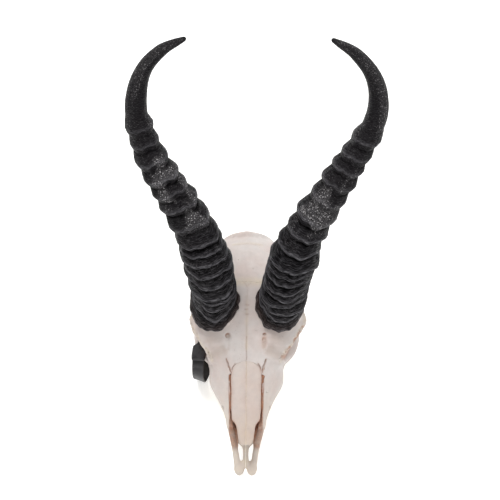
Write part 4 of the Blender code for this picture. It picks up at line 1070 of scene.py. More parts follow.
def seam_tools(tree):
    """Wedges along the knit seams that show on the surface, and the small pits in it."""
    tools = []
    for k, (line, width, depth, wander, _) in enumerate(SEAM_LINES):
        above = np.column_stack([line, np.full(len(line), SEAM_FROM)])
        tools.append(seam(f"seam_{k}", tree, above, (0, 0, -1.0), width, depth, wander, 50 + 3 * k))
    for k, (line, width, depth, wander, _) in enumerate(SIDE_SEAMS):
        for side, _ in SIDES:
            tools.append(seam(f"side_seam_{k}", tree, sided(line, side), (-side, 0, 0), width, depth, wander,
                              90 + 5 * k + side))
    return tools + [pit(f"pit_{k}", tree, *sizes) for k, sizes in enumerate(PITS)]


def separate(body, seeds):
    """Splits the body into its loose parts and keeps the one nearest to each named seed."""
    select([body])
    bpy.ops.mesh.separate(type="LOOSE")
    parts = [obj for obj in bpy.context.selected_objects if len(obj.data.vertices) > SCRAP]
    remove([obj for obj in bpy.context.selected_objects if obj not in parts])
    clouds = [positions(obj.data) for obj in parts]
    kept = {}
    for name, seed in seeds.items():
        reach = [np.linalg.norm(cloud - seed, axis=1).min() for cloud in clouds]
        kept[name] = parts[int(np.argmin(reach))]
    if len({obj.name for obj in kept.values()}) < len(seeds):
        raise RuntimeError("two bones weren't parted: " + str({k: v.name for k, v in kept.items()}))
    remove([obj for obj in parts if obj not in kept.values()])
    return kept


def bone_seeds():
    """A point inside each bone."""
    seeds = {"braincase": (0, 165, 60), "frontal": (0, 110, 78)}
    for side, word in SIDES:
        seeds["maxilla_" + word] = (25 * side, 72, 36)
        seeds["premaxilla_" + word] = (9 * side, 20, 20)
        seeds["zygomatic_" + word] = (40 * side, 104, 30.5)
    return seeds


def bone_attributes(obj):
    """Numbers that colour the bone: brown stain, painted shade on the walls of the brow openings,
    pink inside the orbits, and a warm yellow cast.
    """
    mesh = obj.data
    p, n = positions(mesh), normals(mesh)
    x, y, z = p.T
    edge = between(NOSE_WALL, y)
    cavity = smoothstep(16, 22, y) * smoothstep(84, 78, y) * smoothstep(edge + 1.2, edge, np.abs(x))
    cavity *= smoothstep(0.2, -1.8, z - nasal_z(x, y)) * smoothstep(19, 24, z)
    stain = cavity * (0.75 + 0.25 * noise(p, 5, 61)) * np.interp(y, (18, 40), (0.72, 1.0))
    sunk = (0.3 + 0.7 * smoothstep(0.0, -0.3, n[:, 2] - 0.75)) * (z > SEAM_LOW)
    for line, _, _, _, strength in SEAM_LINES:
        stain = np.maximum(stain, strength * near_line(p[:, :2], line, 1.25) * sunk)
    teeth = smoothstep(0.1, 0.6, noise(p, 1.4, 63) + 0.4)
    stain = np.maximum(stain, 0.7 * near_line(p, BROW_EDGE[1:6], 2.2) * teeth)
    # Painted shade: the walls of the brow openings that face away from the key light take the stain colour
    steep = smoothstep(0.8, 0.55, n[:, 2]) * smoothstep(0.0, 0.4, n[:, 0] - n[:, 1])
    for hole, *_ in BROW_HOLES.values():
        stain = np.maximum(stain, 0.75 * steep * near_line(p, hole, 3.6))
    pink = strongest(p, PINK_LINES)
    for side, _ in SIDES:
        off = p - sided(ORBIT_CENTRE, side)
        away = off @ sided(orbit_axes()[0], side)
        from_axis = np.sqrt(np.maximum((off**2).sum(1) - away**2, 0))
        inner = smoothstep(0.5, -2.5, away) * smoothstep(-34, -28, away)
        pink = np.maximum(pink, inner * smoothstep(ORBIT_RADIUS + 1.2, ORBIT_RADIUS - 0.4, from_axis))
    brows = both([(BROW_EDGE, BROW_EDGE_REACH, 0.5)])
    warm = np.maximum(strongest(p, list(WARM_LINES) + brows), 0.45 * smoothstep(78, 20, y))
    warm = np.maximum(warm, 0.6 * smoothstep(24, 12, z) * smoothstep(40, 50, y))
    for name, values in (("stain", stain), ("pink", pink), ("warm", warm)):
        attribute(mesh, name, np.clip(values, 0, 1))


def relief_and_shade_attribute(obj):
    """How raised (+) or sunk (-) each point is against a smoothed copy of the surface, in mm, less painted
    shade.
    """
    copy = linked("smoothed", obj.data)
    ease(copy, RELIEF_ROUNDS)
    evaluate(copy)
    p, n = positions(obj.data), normals(obj.data)
    height = ((p - positions(copy.data)) * n).sum(axis=1)
    # Painted shade: each band is made to read as this many mm sunk, so that the material darkens it
    for line, reach, depth in both(PAINTED_SHADE_BANDS):
        height -= depth * near_line(p, line, reach)
    remove([copy])
    attribute(obj.data, "relief_and_shade", np.clip(height, -1, 1))


def place(obj, name, material, slot, *nodes):
    """Writes a finished piece in metres at its place in the frame, gives it its material, hangs it
    on the frame's root and hides the imported parts that it stands for.
    """
    mesh = obj.data
    write_positions(mesh, positions(mesh) * METRES + ORIGIN)
    obj.name = name
    mesh.name = name
    mesh.materials.clear()
    mesh.materials.append(material)
    mesh.shade_smooth()
    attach(obj, "root")
    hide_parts(*nodes)


def nasal(side, gap):
    """One nasal as a grid: rows from its tip back, columns from the midline out, above and below.

    Both faces follow nasal_z with a low dome between midline and edge, and drop by a quarter round
    at their edges."""
    edge = smooth_line(NASAL_EDGE, 190)
    half = np.maximum(edge[:, 1:], 0.5)
    t = (1 - np.cos(np.pi * np.linspace(0, 1, 52))) / 2
    x = gap / 2 + (half - gap / 2) * t
    y = np.broadcast_to(edge[:, :1], x.shape)
    flat = np.stack([x * side, y, x * 0], -1)
    x = x + 0.16 * t * noise(flat, 1.7, 71 + side) * smoothstep(0, 2, half) * smoothstep(73, 71, y)
    r = np.interp(y, (19, 34, 71, 73), (0.3, 0.6, 0.5, 0.16))
    drop = quarter_round(x - gap / 2, NASAL_INNER_ROUND) + quarter_round(half - x, r)
    drop = np.minimum(drop, NASAL_THICK / 2 - 0.05)
    dome = 0.35 * np.sin(np.pi * t) ** 1.2 * smoothstep(2, 9, half) - 0.35 * t**6
    rough = 0.12 * noise(flat, 7, 73 + side) + 0.06 * noise(flat, 2.2, 75 + side)
    middle = nasal_z(x, y) + dome
    faces = [np.stack([x * side, y, z], -1) for z in (middle + rough - drop, middle - NASAL_THICK + drop)]
    obj = slab("nasal", *faces)
    x, y, z = positions(obj.data).T
    below = smoothstep(0.1, -1.4, z - nasal_z(x, y) - 0.1) * smoothstep(78, 71, y) * smoothstep(17, 30, y)
    warm = 0.1 + 0.3 * smoothstep(50, 20, y) + 0.4 * smoothstep(0.9, 0.1, np.abs(x))
    pink = 0.2 + 0.08 * noise(positions(obj.data), 9, 77)
    for name, values in (("stain", np.clip(below, 0, 1)), ("pink", pink), ("warm", warm)):
        attribute(obj.data, name, values)
    return obj


def dried_tissue(side):
    """The dried skin that closes the slit beside a nasal, as a thin sheet between the two bones.

    Its top lies 0.9 mm below nasal_z, in front of the slits below the premaxilla's upper edge, and
    is uneven by smooth noise."""
    y = np.linspace(15.0, 71.7, 280)[:, None]
    slit = between(SLIT_LEFT if side > 0 else SLIT_RIGHT, y)
    inner = np.maximum(nasal_edge_x(y) - 0.5, np.interp(y, (15, 26, 27), (6.6, 6.0, 0)))
    outer = np.maximum(inner + slit + 1.2, np.interp(y, (15, 26, 36, 39), (7.2, 12.4, 14.4, 0)))
    x = inner + (outer - inner) * np.linspace(0, 1, 22)
    rim = np.minimum(x - inner - 0.5, inner + 0.5 + slit - x)
    y = np.broadcast_to(y, x.shape)
    flat = np.stack([x * side, y, 0 * x], -1)
    floor_z = np.interp(y, (15, 20, 29, 38, 44, 48), (16.8, 20.0, 26.6, 33.6, 39.0, 60))
    top = np.minimum(nasal_z(x, y) - 0.9 - 1.6 * smoothstep(44, 36, y), floor_z)
    rim = rim + 0.2 * noise(flat, 1.2, 125)
    top = top - 0.9 * smoothstep(0.5, 0.05, rim) * smoothstep(36, 40, y)
    top = top + 0.3 * noise(flat, 1.8, 121) + 0.2 * noise(flat, 0.8, 122)
    obj = slab("tissue", *[np.stack([x * side, y, z], -1) for z in (top, top - TISSUE_THICK)])
    p = positions(obj.data)
    patchy = 0.72 + 0.5 * noise(p, 2.4, 123) + 0.35 * noise(p, 1.1, 124)
    front = smoothstep(34, 18, p[:, 1])
    stain = np.clip(patchy, 0.8, 1) * (1 - 0.75 * front)
    for name, values in (("stain", stain), ("pink", 0.3 + 0.3 * front), ("warm", 0.6), ("relief_and_shade", 0.0)):
        attribute(obj.data, name, np.broadcast_to(values, len(p)))
    return obj


def tooth(y, x, length, breadth, lobes, side, seed):
    """One high-crowned cheek tooth: a ribbed wall of stacked outlines, closed below by a chewing
    face of shrinking outlines with a rim, a cusp to each lobe and crescent pits.

    The outline is a rounded box, |cos|^0.75 by |sin|^0.75, waisted between its lobes, and with
    bell-shaped ribs on its outer side."""
    draw = np.random.default_rng(seed)
    a, b = box_round(once_round(TOOTH_SIDES), 0.75)
    ribbed = sum(np.exp(-((a - rib) / 0.13) ** 2) for rib in TOOTH_RIBS[lobes])
    waist = 0.92 + 0.08 * np.abs(np.cos(np.pi * a / 2))
    if lobes == 2:
        waist = 0.84 + 0.18 * np.abs(np.sin(np.pi * a))
    b = b * waist * breadth / 2 + np.sign(b) * (np.sign(b) == side) * (0.42 * ribbed - 0.3) * np.abs(b)
    wall = np.linspace(0, 1, 30)[:, None]
    z = TOOTH_ROOT_Z * (1 - wall) + 0.9 * wall
    swell = between(TOOTH_SWELL, z)
    lean = draw.uniform(-0.4, 0.4) * z / TOOTH_ROOT_Z
    rings = [np.stack([x + b * swell + lean, y + a * length / 2 * swell, z + 0 * a], -1)]
    cusp = 0.85 * (1 - np.abs(np.sin(np.pi * a))) if lobes == 2 else 0.7 * a**2
    r = np.linspace(0.98, 0.02, 22)[:, None]
    u, v = a * r, b * r / (breadth / 2)
    height = 0.06 + cusp * smoothstep(0.3, 1, r) + 0.5 * smoothstep(0.98, 0.86, r)
    for middle in TOOTH_LOBES[lobes]:
        bow = 0.30 - 0.75 * ((u - middle) / 0.5) ** 2
        crescent = np.exp(-((u - middle) / 0.30) ** 2 - ((v * side - bow) / 0.11) ** 2)
        other = np.exp(-((u - middle) / 0.26) ** 2 - ((v * side - bow + 0.5) / 0.13) ** 2)
        height = height + 1.1 * crescent + 0.5 * other
    rings.append(np.stack([x + b * r * 0.965, y + a * r * length / 2 * 0.965, height], -1))
    obj = skin("tooth", np.concatenate(rings))
    p = positions(obj.data)
    p += 0.05 * np.stack([noise(p, 1.3, seed + k) for k in range(3)], -1) * (p[:, 2:] > 0.5)
    p[:, 2] = np.maximum(p[:, 2], 0.0)
    write_positions(obj.data, p)
    return obj


def tooth_row(side):
    """The six cheek teeth of one side, set on the row's smooth line."""
    places, x_of = np.array(TOOTH_ROW_X).T
    y = TOOTH_ROW_START
    teeth = []
    for k, (length, breadth, lobes) in enumerate(TEETH):
        middle = y + length / 2
        x = hermite(places, x_of, np.array([middle]))[0]
        teeth.append(tooth(middle, x * side, length + 0.15, breadth, lobes, side, 10 * k + side + 1))
        y += length
    return join("teeth", teeth)


def horn_frame():
    """Points on the horn's centre line, and the distance along it to each."""
    fine = smooth_line(HORN_LINE, 600)
    return fine, run_along(fine)


def ring_notches(crests):
    """The notch under each crest, and how far up its ring the crest lies, as a share of the ring.

    That share grows along the horn, from a sharp lip near the base to a soft swelling."""
    crests = np.array(crests)
    step = np.gradient(crests)
    share = RING_CREST_LOW + (RING_CREST_HIGH - RING_CREST_LOW) * smoothstep(60, 120, crests)
    notches = np.concatenate([[0.0], (crests - share * step)[1:], [crests[-1] + 9.0]])
    return notches, share


def ring_swell(s, crests):
    """Height of the rings at each station, from -0.35 in a notch to about 1 on a crest, with a steep
    lip up to the crest and a long fall above it, how near each station lies to a crest (+) or to
    a notch (-), and the size and the number of its ring."""
    notches, share = ring_notches(crests)
    ring = np.clip(np.searchsorted(notches, s, side="right") - 1, 0, len(crests) - 1)
    size = notches[ring + 1] - notches[ring]
    part = np.clip((s - notches[ring]) / size, 0, 1)
    top = share[ring]
    power = np.interp(top, (RING_CREST_LOW, RING_CREST_HIGH), (0.55, 1.1))
    lip = -0.35 + 1.35 * np.sin(np.pi / 2 * np.clip(part / top, 0, 1)) ** power
    fall = 1 - 1.35 * np.clip((part - top) / (1 - top), 0, 1) ** 1.55
    swell = np.where(part < top, lip, fall)
    heights = np.random.default_rng(len(crests)).uniform(0.72, 1.18, len(crests))
    swell = (swell + 0.35) * heights[ring] - 0.35
    swell = np.where(s >= notches[-1], -0.35 * smoothstep(notches[-1] + 9, notches[-1], s), swell)
    reach = np.where(part < top, 0.8, 1.5)
    crest = np.exp(-(((part - top) * size) / reach) ** 2)
    crest -= np.exp(-((part * size) / 1.1) ** 2) + 0.9 * np.exp(-(((1 - part) * size) / 1.8) ** 2)
    crest *= s < notches[-1]
    return swell, crest, np.clip(size / 11, 0.62, 1.1), ring


def horn_stations(length, crests):
    """Rows along the horn, three times as close near each lip as elsewhere."""
    s = np.linspace(0, length, 4000)
    notches, _ = ring_notches(crests)
    close = np.ones(len(s))
    for notch in notches[1:-1]:
        close += 2.2 * np.exp(-(((s - notch) - 0.6) / 1.3) ** 2)
    close += 3 * smoothstep(length - 4, length, s)
    total = np.cumsum(close)
    return np.interp(np.linspace(total[0], total[-1], HORN_ROWS), total, s)


def horn(side, word, ring_rise):
    """A ringed horn as a grid: rows follow the rings, columns run from base to tip.

    A row at station s is tilted: its front and inner edge lie lower than its back and outer edge,
    and sine waves round the horn shift it up and down. Its radius is half the horn's breadth there
    plus the swell of the rings, strongest on the inner and front side, fine growth wrinkles across
    and low ridges along the horn."""
    crests, seed = HORN_RINGS[word]
    fine, length = horn_frame()
    s = horn_stations(length[-1], crests)
    swell, crest, size, ring = (values[:, None] for values in ring_swell(s, crests))
    up = s[:, None]
    angle = once_round(HORN_SIDES) - np.pi / 2
    inner, fore = np.cos(angle), np.sin(angle)
    breadth = between(HORN_BREADTH, up) / 2
    depth = breadth * between(HORN_DEPTH_RATIO, up)
    past = np.clip(up - (length[-1] - HORN_TIP_FROM), 0, None)
    rounding = np.sqrt(np.clip(1 - (past / HORN_TIP_RADIUS) ** 2, 0.0025, 1))
    rough = np.stack(np.broadcast_arrays(inner * breadth, fore * breadth, up), -1)
    taper = np.clip((breadth - 2) / 16, 0.1, 1)
    facing = np.clip(0.9 + 0.15 * inner + 0.1 * fore, 0.3, 1.2)
    strength = np.clip(1 + 0.38 * noise(rough * (1, 1, 0.75), 13, seed), 0.4, 1.45)
    sink = 0.1 + 0.7 * smoothstep(50, 18, up) * inner**2 + 0.12 * inner
    rise = ring_rise * taper * size * (swell - sink) * facing * strength
    apart = rough.copy()
    apart[..., 2] = 40.0 * ring
    rise = rise + RING_STEP * taper * noise(apart, 15, seed + 9) * smoothstep(190, 150, up)
    rise = rise + RING_BEAD * taper * np.clip(crest, 0, 1) ** 2 * strength
    rise = rise - BASE_TRIM[word] * smoothstep(42, 10, up) * np.clip(-inner, 0, 1)
    wrinkle = 0.5 - 1.6 * np.abs(noise(rough * (0.16, 0.16, 1.0), 1.5, seed + 1))
    wrinkle = wrinkle * (0.05 + 0.40 * smoothstep(110, 40, up))
    growth, ridge, lump, root = (
        noise(rough * stretch, size, seed + own) * (high + more * smoothstep(first, last, up))
        for stretch, size, own, high, more, first, last in HORN_NOISE)
    fade = smoothstep(0, 14, length[-1] - up)
    rise = rise + (wrinkle + growth + ridge + (lump + root)) * np.clip(taper * 1.4, 0, 1) * fade
    grow = (1 + rise / breadth) * rounding
    across, ahead = -inner * breadth * grow, fore * depth * grow
    lean = RING_LEAN_HIGH + (RING_LEAN_BASE - RING_LEAN_HIGH) * np.exp(-((up / RING_LEAN_REACH) ** 1.3))
    side_lean = RING_SIDE_LEAN * np.clip(up / 40, 0, 1)
    tilt = np.clip((length[-1] - up) / 60, 0, 1) * (lean * ahead - side_lean * across)
    draw = np.random.default_rng(seed + 5)
    wave = sum(
        high * np.sin(count * angle + draw.uniform(0, 6.28) + draw.uniform(-0.045, 0.045) * up)
        for count, high in RING_WAVES
    )
    wave = wave * smoothstep(2, 16, up) * taper * smoothstep(215, 150, up)
    station = np.clip(up - tilt + wave, -30, length[-1])

    def line_at(distance):
        return np.stack([np.interp(distance, length, fine[:, k]) for k in range(3)], axis=-1)

    start = unit(fine[8] - fine[0])
    centre = line_at(station) + np.minimum(station, 0)[..., None] * start
    way = unit(line_at(s + 2) - line_at(s - 2))
    front = np.array((0.0, -1.0, 0.25))
    front = unit(front - (way @ front)[:, None] * way)
    outer = np.cross(front, way)
    outer *= np.sign(outer[0, 0])
    grid = centre + across[..., None] * outer[:, None] + ahead[..., None] * front[:, None]
    foot = rough[0] + 40
    grid = set_base(grid, start, 1.2 * noise(foot, 3.2, seed + 6) + 0.7 * noise(foot, 1.5, seed + 7))
    part = np.clip(up / length[-1], 0, 1)
    low, high = HORN_SWAY
    grid[..., 0] += side * (low * np.clip(part * 20, 0, 1) + high * smoothstep(0.5, 0.78, part))
    forward, down = HORN_BOW
    grid[..., 1] -= side * forward * np.sin(np.pi * part)
    grid[..., 2] -= side * down * np.sin(np.pi * part)
    obj = skin("horn", grid * (side, 1, 1))
    horn_map(obj, s)
    first, last = SCUFFS[word]
    patch = smoothstep(first - 14, first + 6, up) * smoothstep(last + 16, last - 6, up)
    patch = patch * smoothstep(0.1, 0.75, 0.75 * fore + 0.5 * inner)
    dusty = smoothstep(-0.15, 0.5, noise(rough, 10, seed + 7) + 0.5 * noise(rough, 3.5, seed + 8))
    # Painted highlight: a lighter streak along the outer front of the upper horn and a lighter rim on its
    # inner edge, kept in the scuff attribute beside the real scuffs
    upper = smoothstep(150, 205, up)
    rubbed = upper * smoothstep(0.35, -0.5, inner) * smoothstep(-0.5, 0.3, fore)
    rubbed = rubbed * np.clip(0.32 + 0.3 * noise(rough * (1, 1, 0.15), 3.0, seed + 11), 0, 1)
    rubbed = np.maximum(rubbed, upper * smoothstep(0.75, 0.98, inner) * 0.4)
    for name, values in (
        ("scuff_and_highlight", np.maximum(patch * dusty, rubbed)), ("crest", crest * strength * facing * taper),
        ("margin", smoothstep(9, 1, up) * (0.5 + 0.5 * np.clip(inner, 0, 1))),
    ):
        flat = np.broadcast_to(values, rough.shape[:2]).ravel()
        attribute(obj.data, name, np.concatenate([flat, [flat[:HORN_SIDES].mean(), flat[-1]]]))
    return obj


def set_base(grid, way, ragged):
    """Slides the lowest rows on to the flat face of the base, with a ragged edge that hangs just
    over the bone, and keeps the next rows above it."""
    normal = np.array(HORN_BASE_NORMAL)
    base = np.array(HORN_LINE[0])
    count = np.arange(len(grid))[:, None]
    lift = 0.05 * count - np.clip(ragged, -0.1, 1.4)[None] * np.clip(1 - count / 10, 0, 1)
    slide = (lift + (base - grid) @ normal) / (way @ normal)
    slide[1:] = np.maximum(slide[1:], 0)
    return grid + slide[..., None] * way


def horn_map(obj, s):
    """A map of the horn's surface: millimetres round it and along it, with its seam at the back."""
    mesh = obj.data
    rows, sides = len(s), HORN_SIDES
    loops = np.empty(len(mesh.loops), int)
    mesh.loops.foreach_get("vertex_index", loops)
    row = np.minimum(loops // sides, rows - 1)
    column = np.where(loops < rows * sides, loops % sides, 0)
    starts, totals = np.empty((2, len(mesh.polygons)), int)
    mesh.polygons.foreach_get("loop_start", starts)
    mesh.polygons.foreach_get("loop_total", totals)
    face = np.repeat(np.arange(len(starts)), totals)
    crosses = np.maximum.reduceat(column, starts) - np.minimum.reduceat(column, starts) > sides // 2
    column = np.where(crosses[face] & (column < sides // 2), column + sides, column)
    around = column / sides * 2 * np.pi * HORN_MAP_RADIUS
    layer = mesh.uv_layers.new(name="OFHorn")
    layer.data.foreach_set("uv", np.column_stack([around, s[row]]).astype(np.float32).ravel())


def band(width, thick):
    """The tag's strap: a flat section with rounded, slightly raised edges, carried round a closed
    smooth line whose width direction is given with it."""
    points = np.array(BAND_LINE)
    line, wide = (closed_curve(points[None, :, part], 14)[0] for part in (slice(3), slice(3, 6)))
    way = unit(np.roll(line, -1, axis=0) - np.roll(line, 1, axis=0))
    wide = unit(wide - (way * wide).sum(axis=1)[:, None] * way)
    out = np.cross(way, wide)
    near = np.concatenate([[0.0, 0.06, 0.2, 0.42], np.linspace(0.75, 1.5, 5)])
    across = np.concatenate([near, np.linspace(2.0, width - 2.0, 12), width - near[::-1]])
    edge = np.minimum(across, width - across)
    high = thick / 2 + 0.16 * np.exp(-((edge - 0.62) / 0.34) ** 2) - quarter_round(edge, STRAP_ROUND)
    u = np.concatenate([across, across[::-1]]) - width / 2
    v = np.concatenate([high, -high[::-1]])
    grid = line[:, None] + wide[:, None] * u[None, :, None] + out[:, None] * v[None, :, None]
    grid += out[:, None] * (0.05 * noise(grid, 9, 101))[..., None]
    return solid("band", grid.reshape(-1, 3), grid_faces(len(line), len(u), closed_rows=True))


def lock_stack(name, layers):
    """A body through outlines in the lock's plane, given as (outline, height above its middle)."""
    along = unit(np.array(LOCK_WAY))
    across = unit(np.cross(along, (0, 0, 1.0)))
    up = np.cross(across, along)
    middle = np.array(LOCK_MIDDLE)
    return skin(name, np.array([
        middle + flat[:, :1] * across + flat[:, 1:] * along + height * up for flat, height in layers]))


def rounded(outline, radius, steps=5):
    """A closed outline with each corner replaced by a quadratic curve that starts radius before it."""
    p = np.array(outline, float)
    before, after = np.roll(p, 1, 0) - p, np.roll(p, -1, 0) - p
    a = p + unit(before) * np.minimum(radius, np.linalg.norm(before, axis=1) * 0.4)[:, None]
    b = p + unit(after) * np.minimum(radius, np.linalg.norm(after, axis=1) * 0.4)[:, None]
    t = np.linspace(0, 1, steps)[None, :, None]
    return ((1 - t) ** 2 * a[:, None] + 2 * t * (1 - t) * p[:, None] + t**2 * b[:, None]).reshape(-1, 2)


def lock():
    """The tag's lock: its outline stacked in layers that step in to a chamfer, with a slot cut in
    its upper end where the strap's tail shows."""
    outline = rounded(LOCK_OUTLINE, LOCK_ROUND)
    reach = np.linalg.norm(outline, axis=1, keepdims=True)
    body = lock_stack("lock", [(outline * (1 - inset / reach), height) for height, inset in LOCK_LAYERS])
    slot, groove, tail = (
        lock_stack("detail", [(rounded(corners, radius), height) for height in heights])
        for corners, radius, heights in (LOCK_SLOT, LOCK_GROOVE, LOCK_TAIL))
    cut(body, [slot, groove])
    return join("lock", [body, tail])


def node(tree, kind, sockets=(), out=0, **settings):
    """Adds a node and returns one of its outputs. Its sockets, named in a dict or in their order,
    take values or other nodes' outputs, and settings are its own."""
    made = tree.nodes.new(kind)
    for key, value in settings.items():
        setattr(made, key, value)
    for key, value in sockets.items() if isinstance(sockets, dict) else enumerate(sockets):
        if isinstance(value, bpy.types.NodeSocket):
            tree.links.new(value, made.inputs[key])
        else:
            made.inputs[key].default_value = value
    return made.outputs[out]


def start_material(name, roughness, ior, specular=0.5):
    """A material with a Principled shader, its node tree, and Object coordinates in metres."""
    material = bpy.data.materials.new(name)
    material.use_nodes = True
    tree = material.node_tree
    for socket, value in (("Roughness", roughness), ("IOR", ior), ("Specular IOR Level", specular)):
        tree.nodes["Principled BSDF"].inputs[socket].default_value = value
    return material, tree, node(tree, "ShaderNodeTexCoord", out="Object")


def wired(material, sockets):
    """The material, with outputs linked to the sockets of its shader."""
    tree = material.node_tree
    for name, output in sockets.items():
        tree.links.new(output, tree.nodes["Principled BSDF"].inputs[name])
    return material


def per_mm(size):
    """Texture scale that gives features of size mm in coordinates of metres."""
    return 1 / (size * METRES)


def colour(rgb):
    """The colour as a colour socket takes it, with an alpha of 1."""
    return (*rgb, 1.0)


def dry_bone(look):
    """Dry cleaned bone: macerated, degreased and bleached, so it is matt and chalky, warm where
    fat stays in it, pinkish where it is thin, with fine pores, faint clouds of colour and painted
    shade in its hollows."""
    material, tree, place_ = start_material("dry_bone", 0.58, 1.54, 0.35)
    stain, pink, fat, relief_and_shade = (
        node(tree, "ShaderNodeAttribute", out="Fac", attribute_name=name)
        for name in ("stain", "pink", "warm", "relief_and_shade"))
    # Noise: (size in mm, detail, roughness)
    cloud, mottle, grain, groups = (
        node(tree, "ShaderNodeTexNoise", {
            "Vector": place_, "Scale": per_mm(size), "Detail": detail, "Roughness": rough})
        for size, detail, rough in ((24, 4.0, 0.55), (5, 5.0, 0.6), (0.9, 3.0, 0.6), (11, 2.0, 0.5)))
    pores = node(tree, "ShaderNodeTexVoronoi", {"Vector": place_, "Scale": per_mm(1.5), "Randomness": 1.0})
    # Ranges: (value, from, to, and what they become)
    pore_size, tone, clouds, sunk, raised, shade, crumbs, gloss = (
        node(tree, "ShaderNodeMapRange", ends) for ends in (
            (groups, 0.48, 0.7, 0.0, 0.26), (cloud, 0.35, 0.65, 0.0, 1.0), (mottle, 0.3, 0.7, 0.55, 1.15),
            (relief_and_shade, -0.05, -0.5, 0.0, 0.55), (relief_and_shade, 0.06, 0.45, 0.0, 0.4),
            (mottle, 0.3, 0.72, 0.93, 1.03), (grain, 0.38, 0.62, 0.0, 1.0), (mottle, 0.3, 0.7, 0.48, 0.68)))
    pore = node(tree, "ShaderNodeMath", (pore_size, pores), operation="SUBTRACT")
    pore = node(tree, "ShaderNodeMapRange", (pore, 0.0, 0.10, 0.0, 1.0))
    pore_dark, holes = (
        node(tree, "ShaderNodeMath", (pore, share), operation="MULTIPLY") for share in (0.55, -1.0))
    warm = node(tree, "ShaderNodeMath", (fat, clouds), operation="MULTIPLY", use_clamp=True)
    base, brown = (
        node(tree, "ShaderNodeMix", {0: part, 6: colour(one), 7: colour(other)}, 2, data_type="RGBA")
        for part, one, other in ((tone, look.pale, look.blush), (crumbs, look.stain_dark, look.stain_light)))
    # Painted shade: sunk places and the bands of painted shade take the hollow colour; raised places take the
    # worn colour
    for part, coat in ((warm, look.cream), (sunk, look.hollow), (raised, look.worn), (pink, look.flesh)):
        base = node(tree, "ShaderNodeMix", {0: part, 6: base, 7: colour(coat)}, 2, data_type="RGBA")
    base = node(tree, "ShaderNodeVectorMath", (base, shade), operation="MULTIPLY")
    # The pores are darkened with the hollow colour as well
    for part, coat in ((stain, brown), (pore_dark, colour(look.hollow))):
        base = node(tree, "ShaderNodeMix", {0: part, 6: base, 7: coat}, 2, data_type="RGBA")
    bump = node(tree, "ShaderNodeBump", {"Height": grain, "Strength": 0.35, "Distance": 0.00022})
    bump = node(tree, "ShaderNodeBump", {
        "Height": holes, "Strength": 0.6, "Distance": 0.0004, "Normal": bump})
    return wired(material, {"Base Color": base, "Roughness": gloss, "Normal": bump})


def tooth_enamel(look):
    """Enamel over dentine: glossy and ivory, streaked along the crown, browned at the gum and in
    the pits of the chewing face."""
    material, tree, place_ = start_material("tooth_enamel", 0.32, 1.63)
    turned = node(tree, "ShaderNodeMapping", {"Vector": place_, "Scale": (1.0, 1.0, 0.16)})
    streak = node(tree, "ShaderNodeTexNoise", {"Vector": turned, "Scale": per_mm(1.4), "Detail": 4.0})
    height = node(tree, "ShaderNodeSeparateXYZ", (place_,), "Z")
    gum, dents, streaks = (node(tree, "ShaderNodeMapRange", ends) for ends in (
        (height, 0.009, 0.0155, 0.0, 0.75), (height, 0.0009, 0.0004, 0.0, 0.35),
        (streak, 0.35, 0.7, 0.35, 1.1)))
    marks = node(tree, "ShaderNodeMath", (gum, dents), operation="ADD", use_clamp=True)
    marks = node(tree, "ShaderNodeMath", (marks, streaks), operation="MULTIPLY", use_clamp=True)
    tone = node(tree, "ShaderNodeMix", {
        0: marks, 6: colour(look.enamel), 7: colour(look.stain_light)}, 2, data_type="RGBA")
    bump = node(tree, "ShaderNodeBump", {"Height": streak, "Strength": 0.3, "Distance": 0.00025})
    return wired(material, {"Base Color": tone, "Normal": bump})


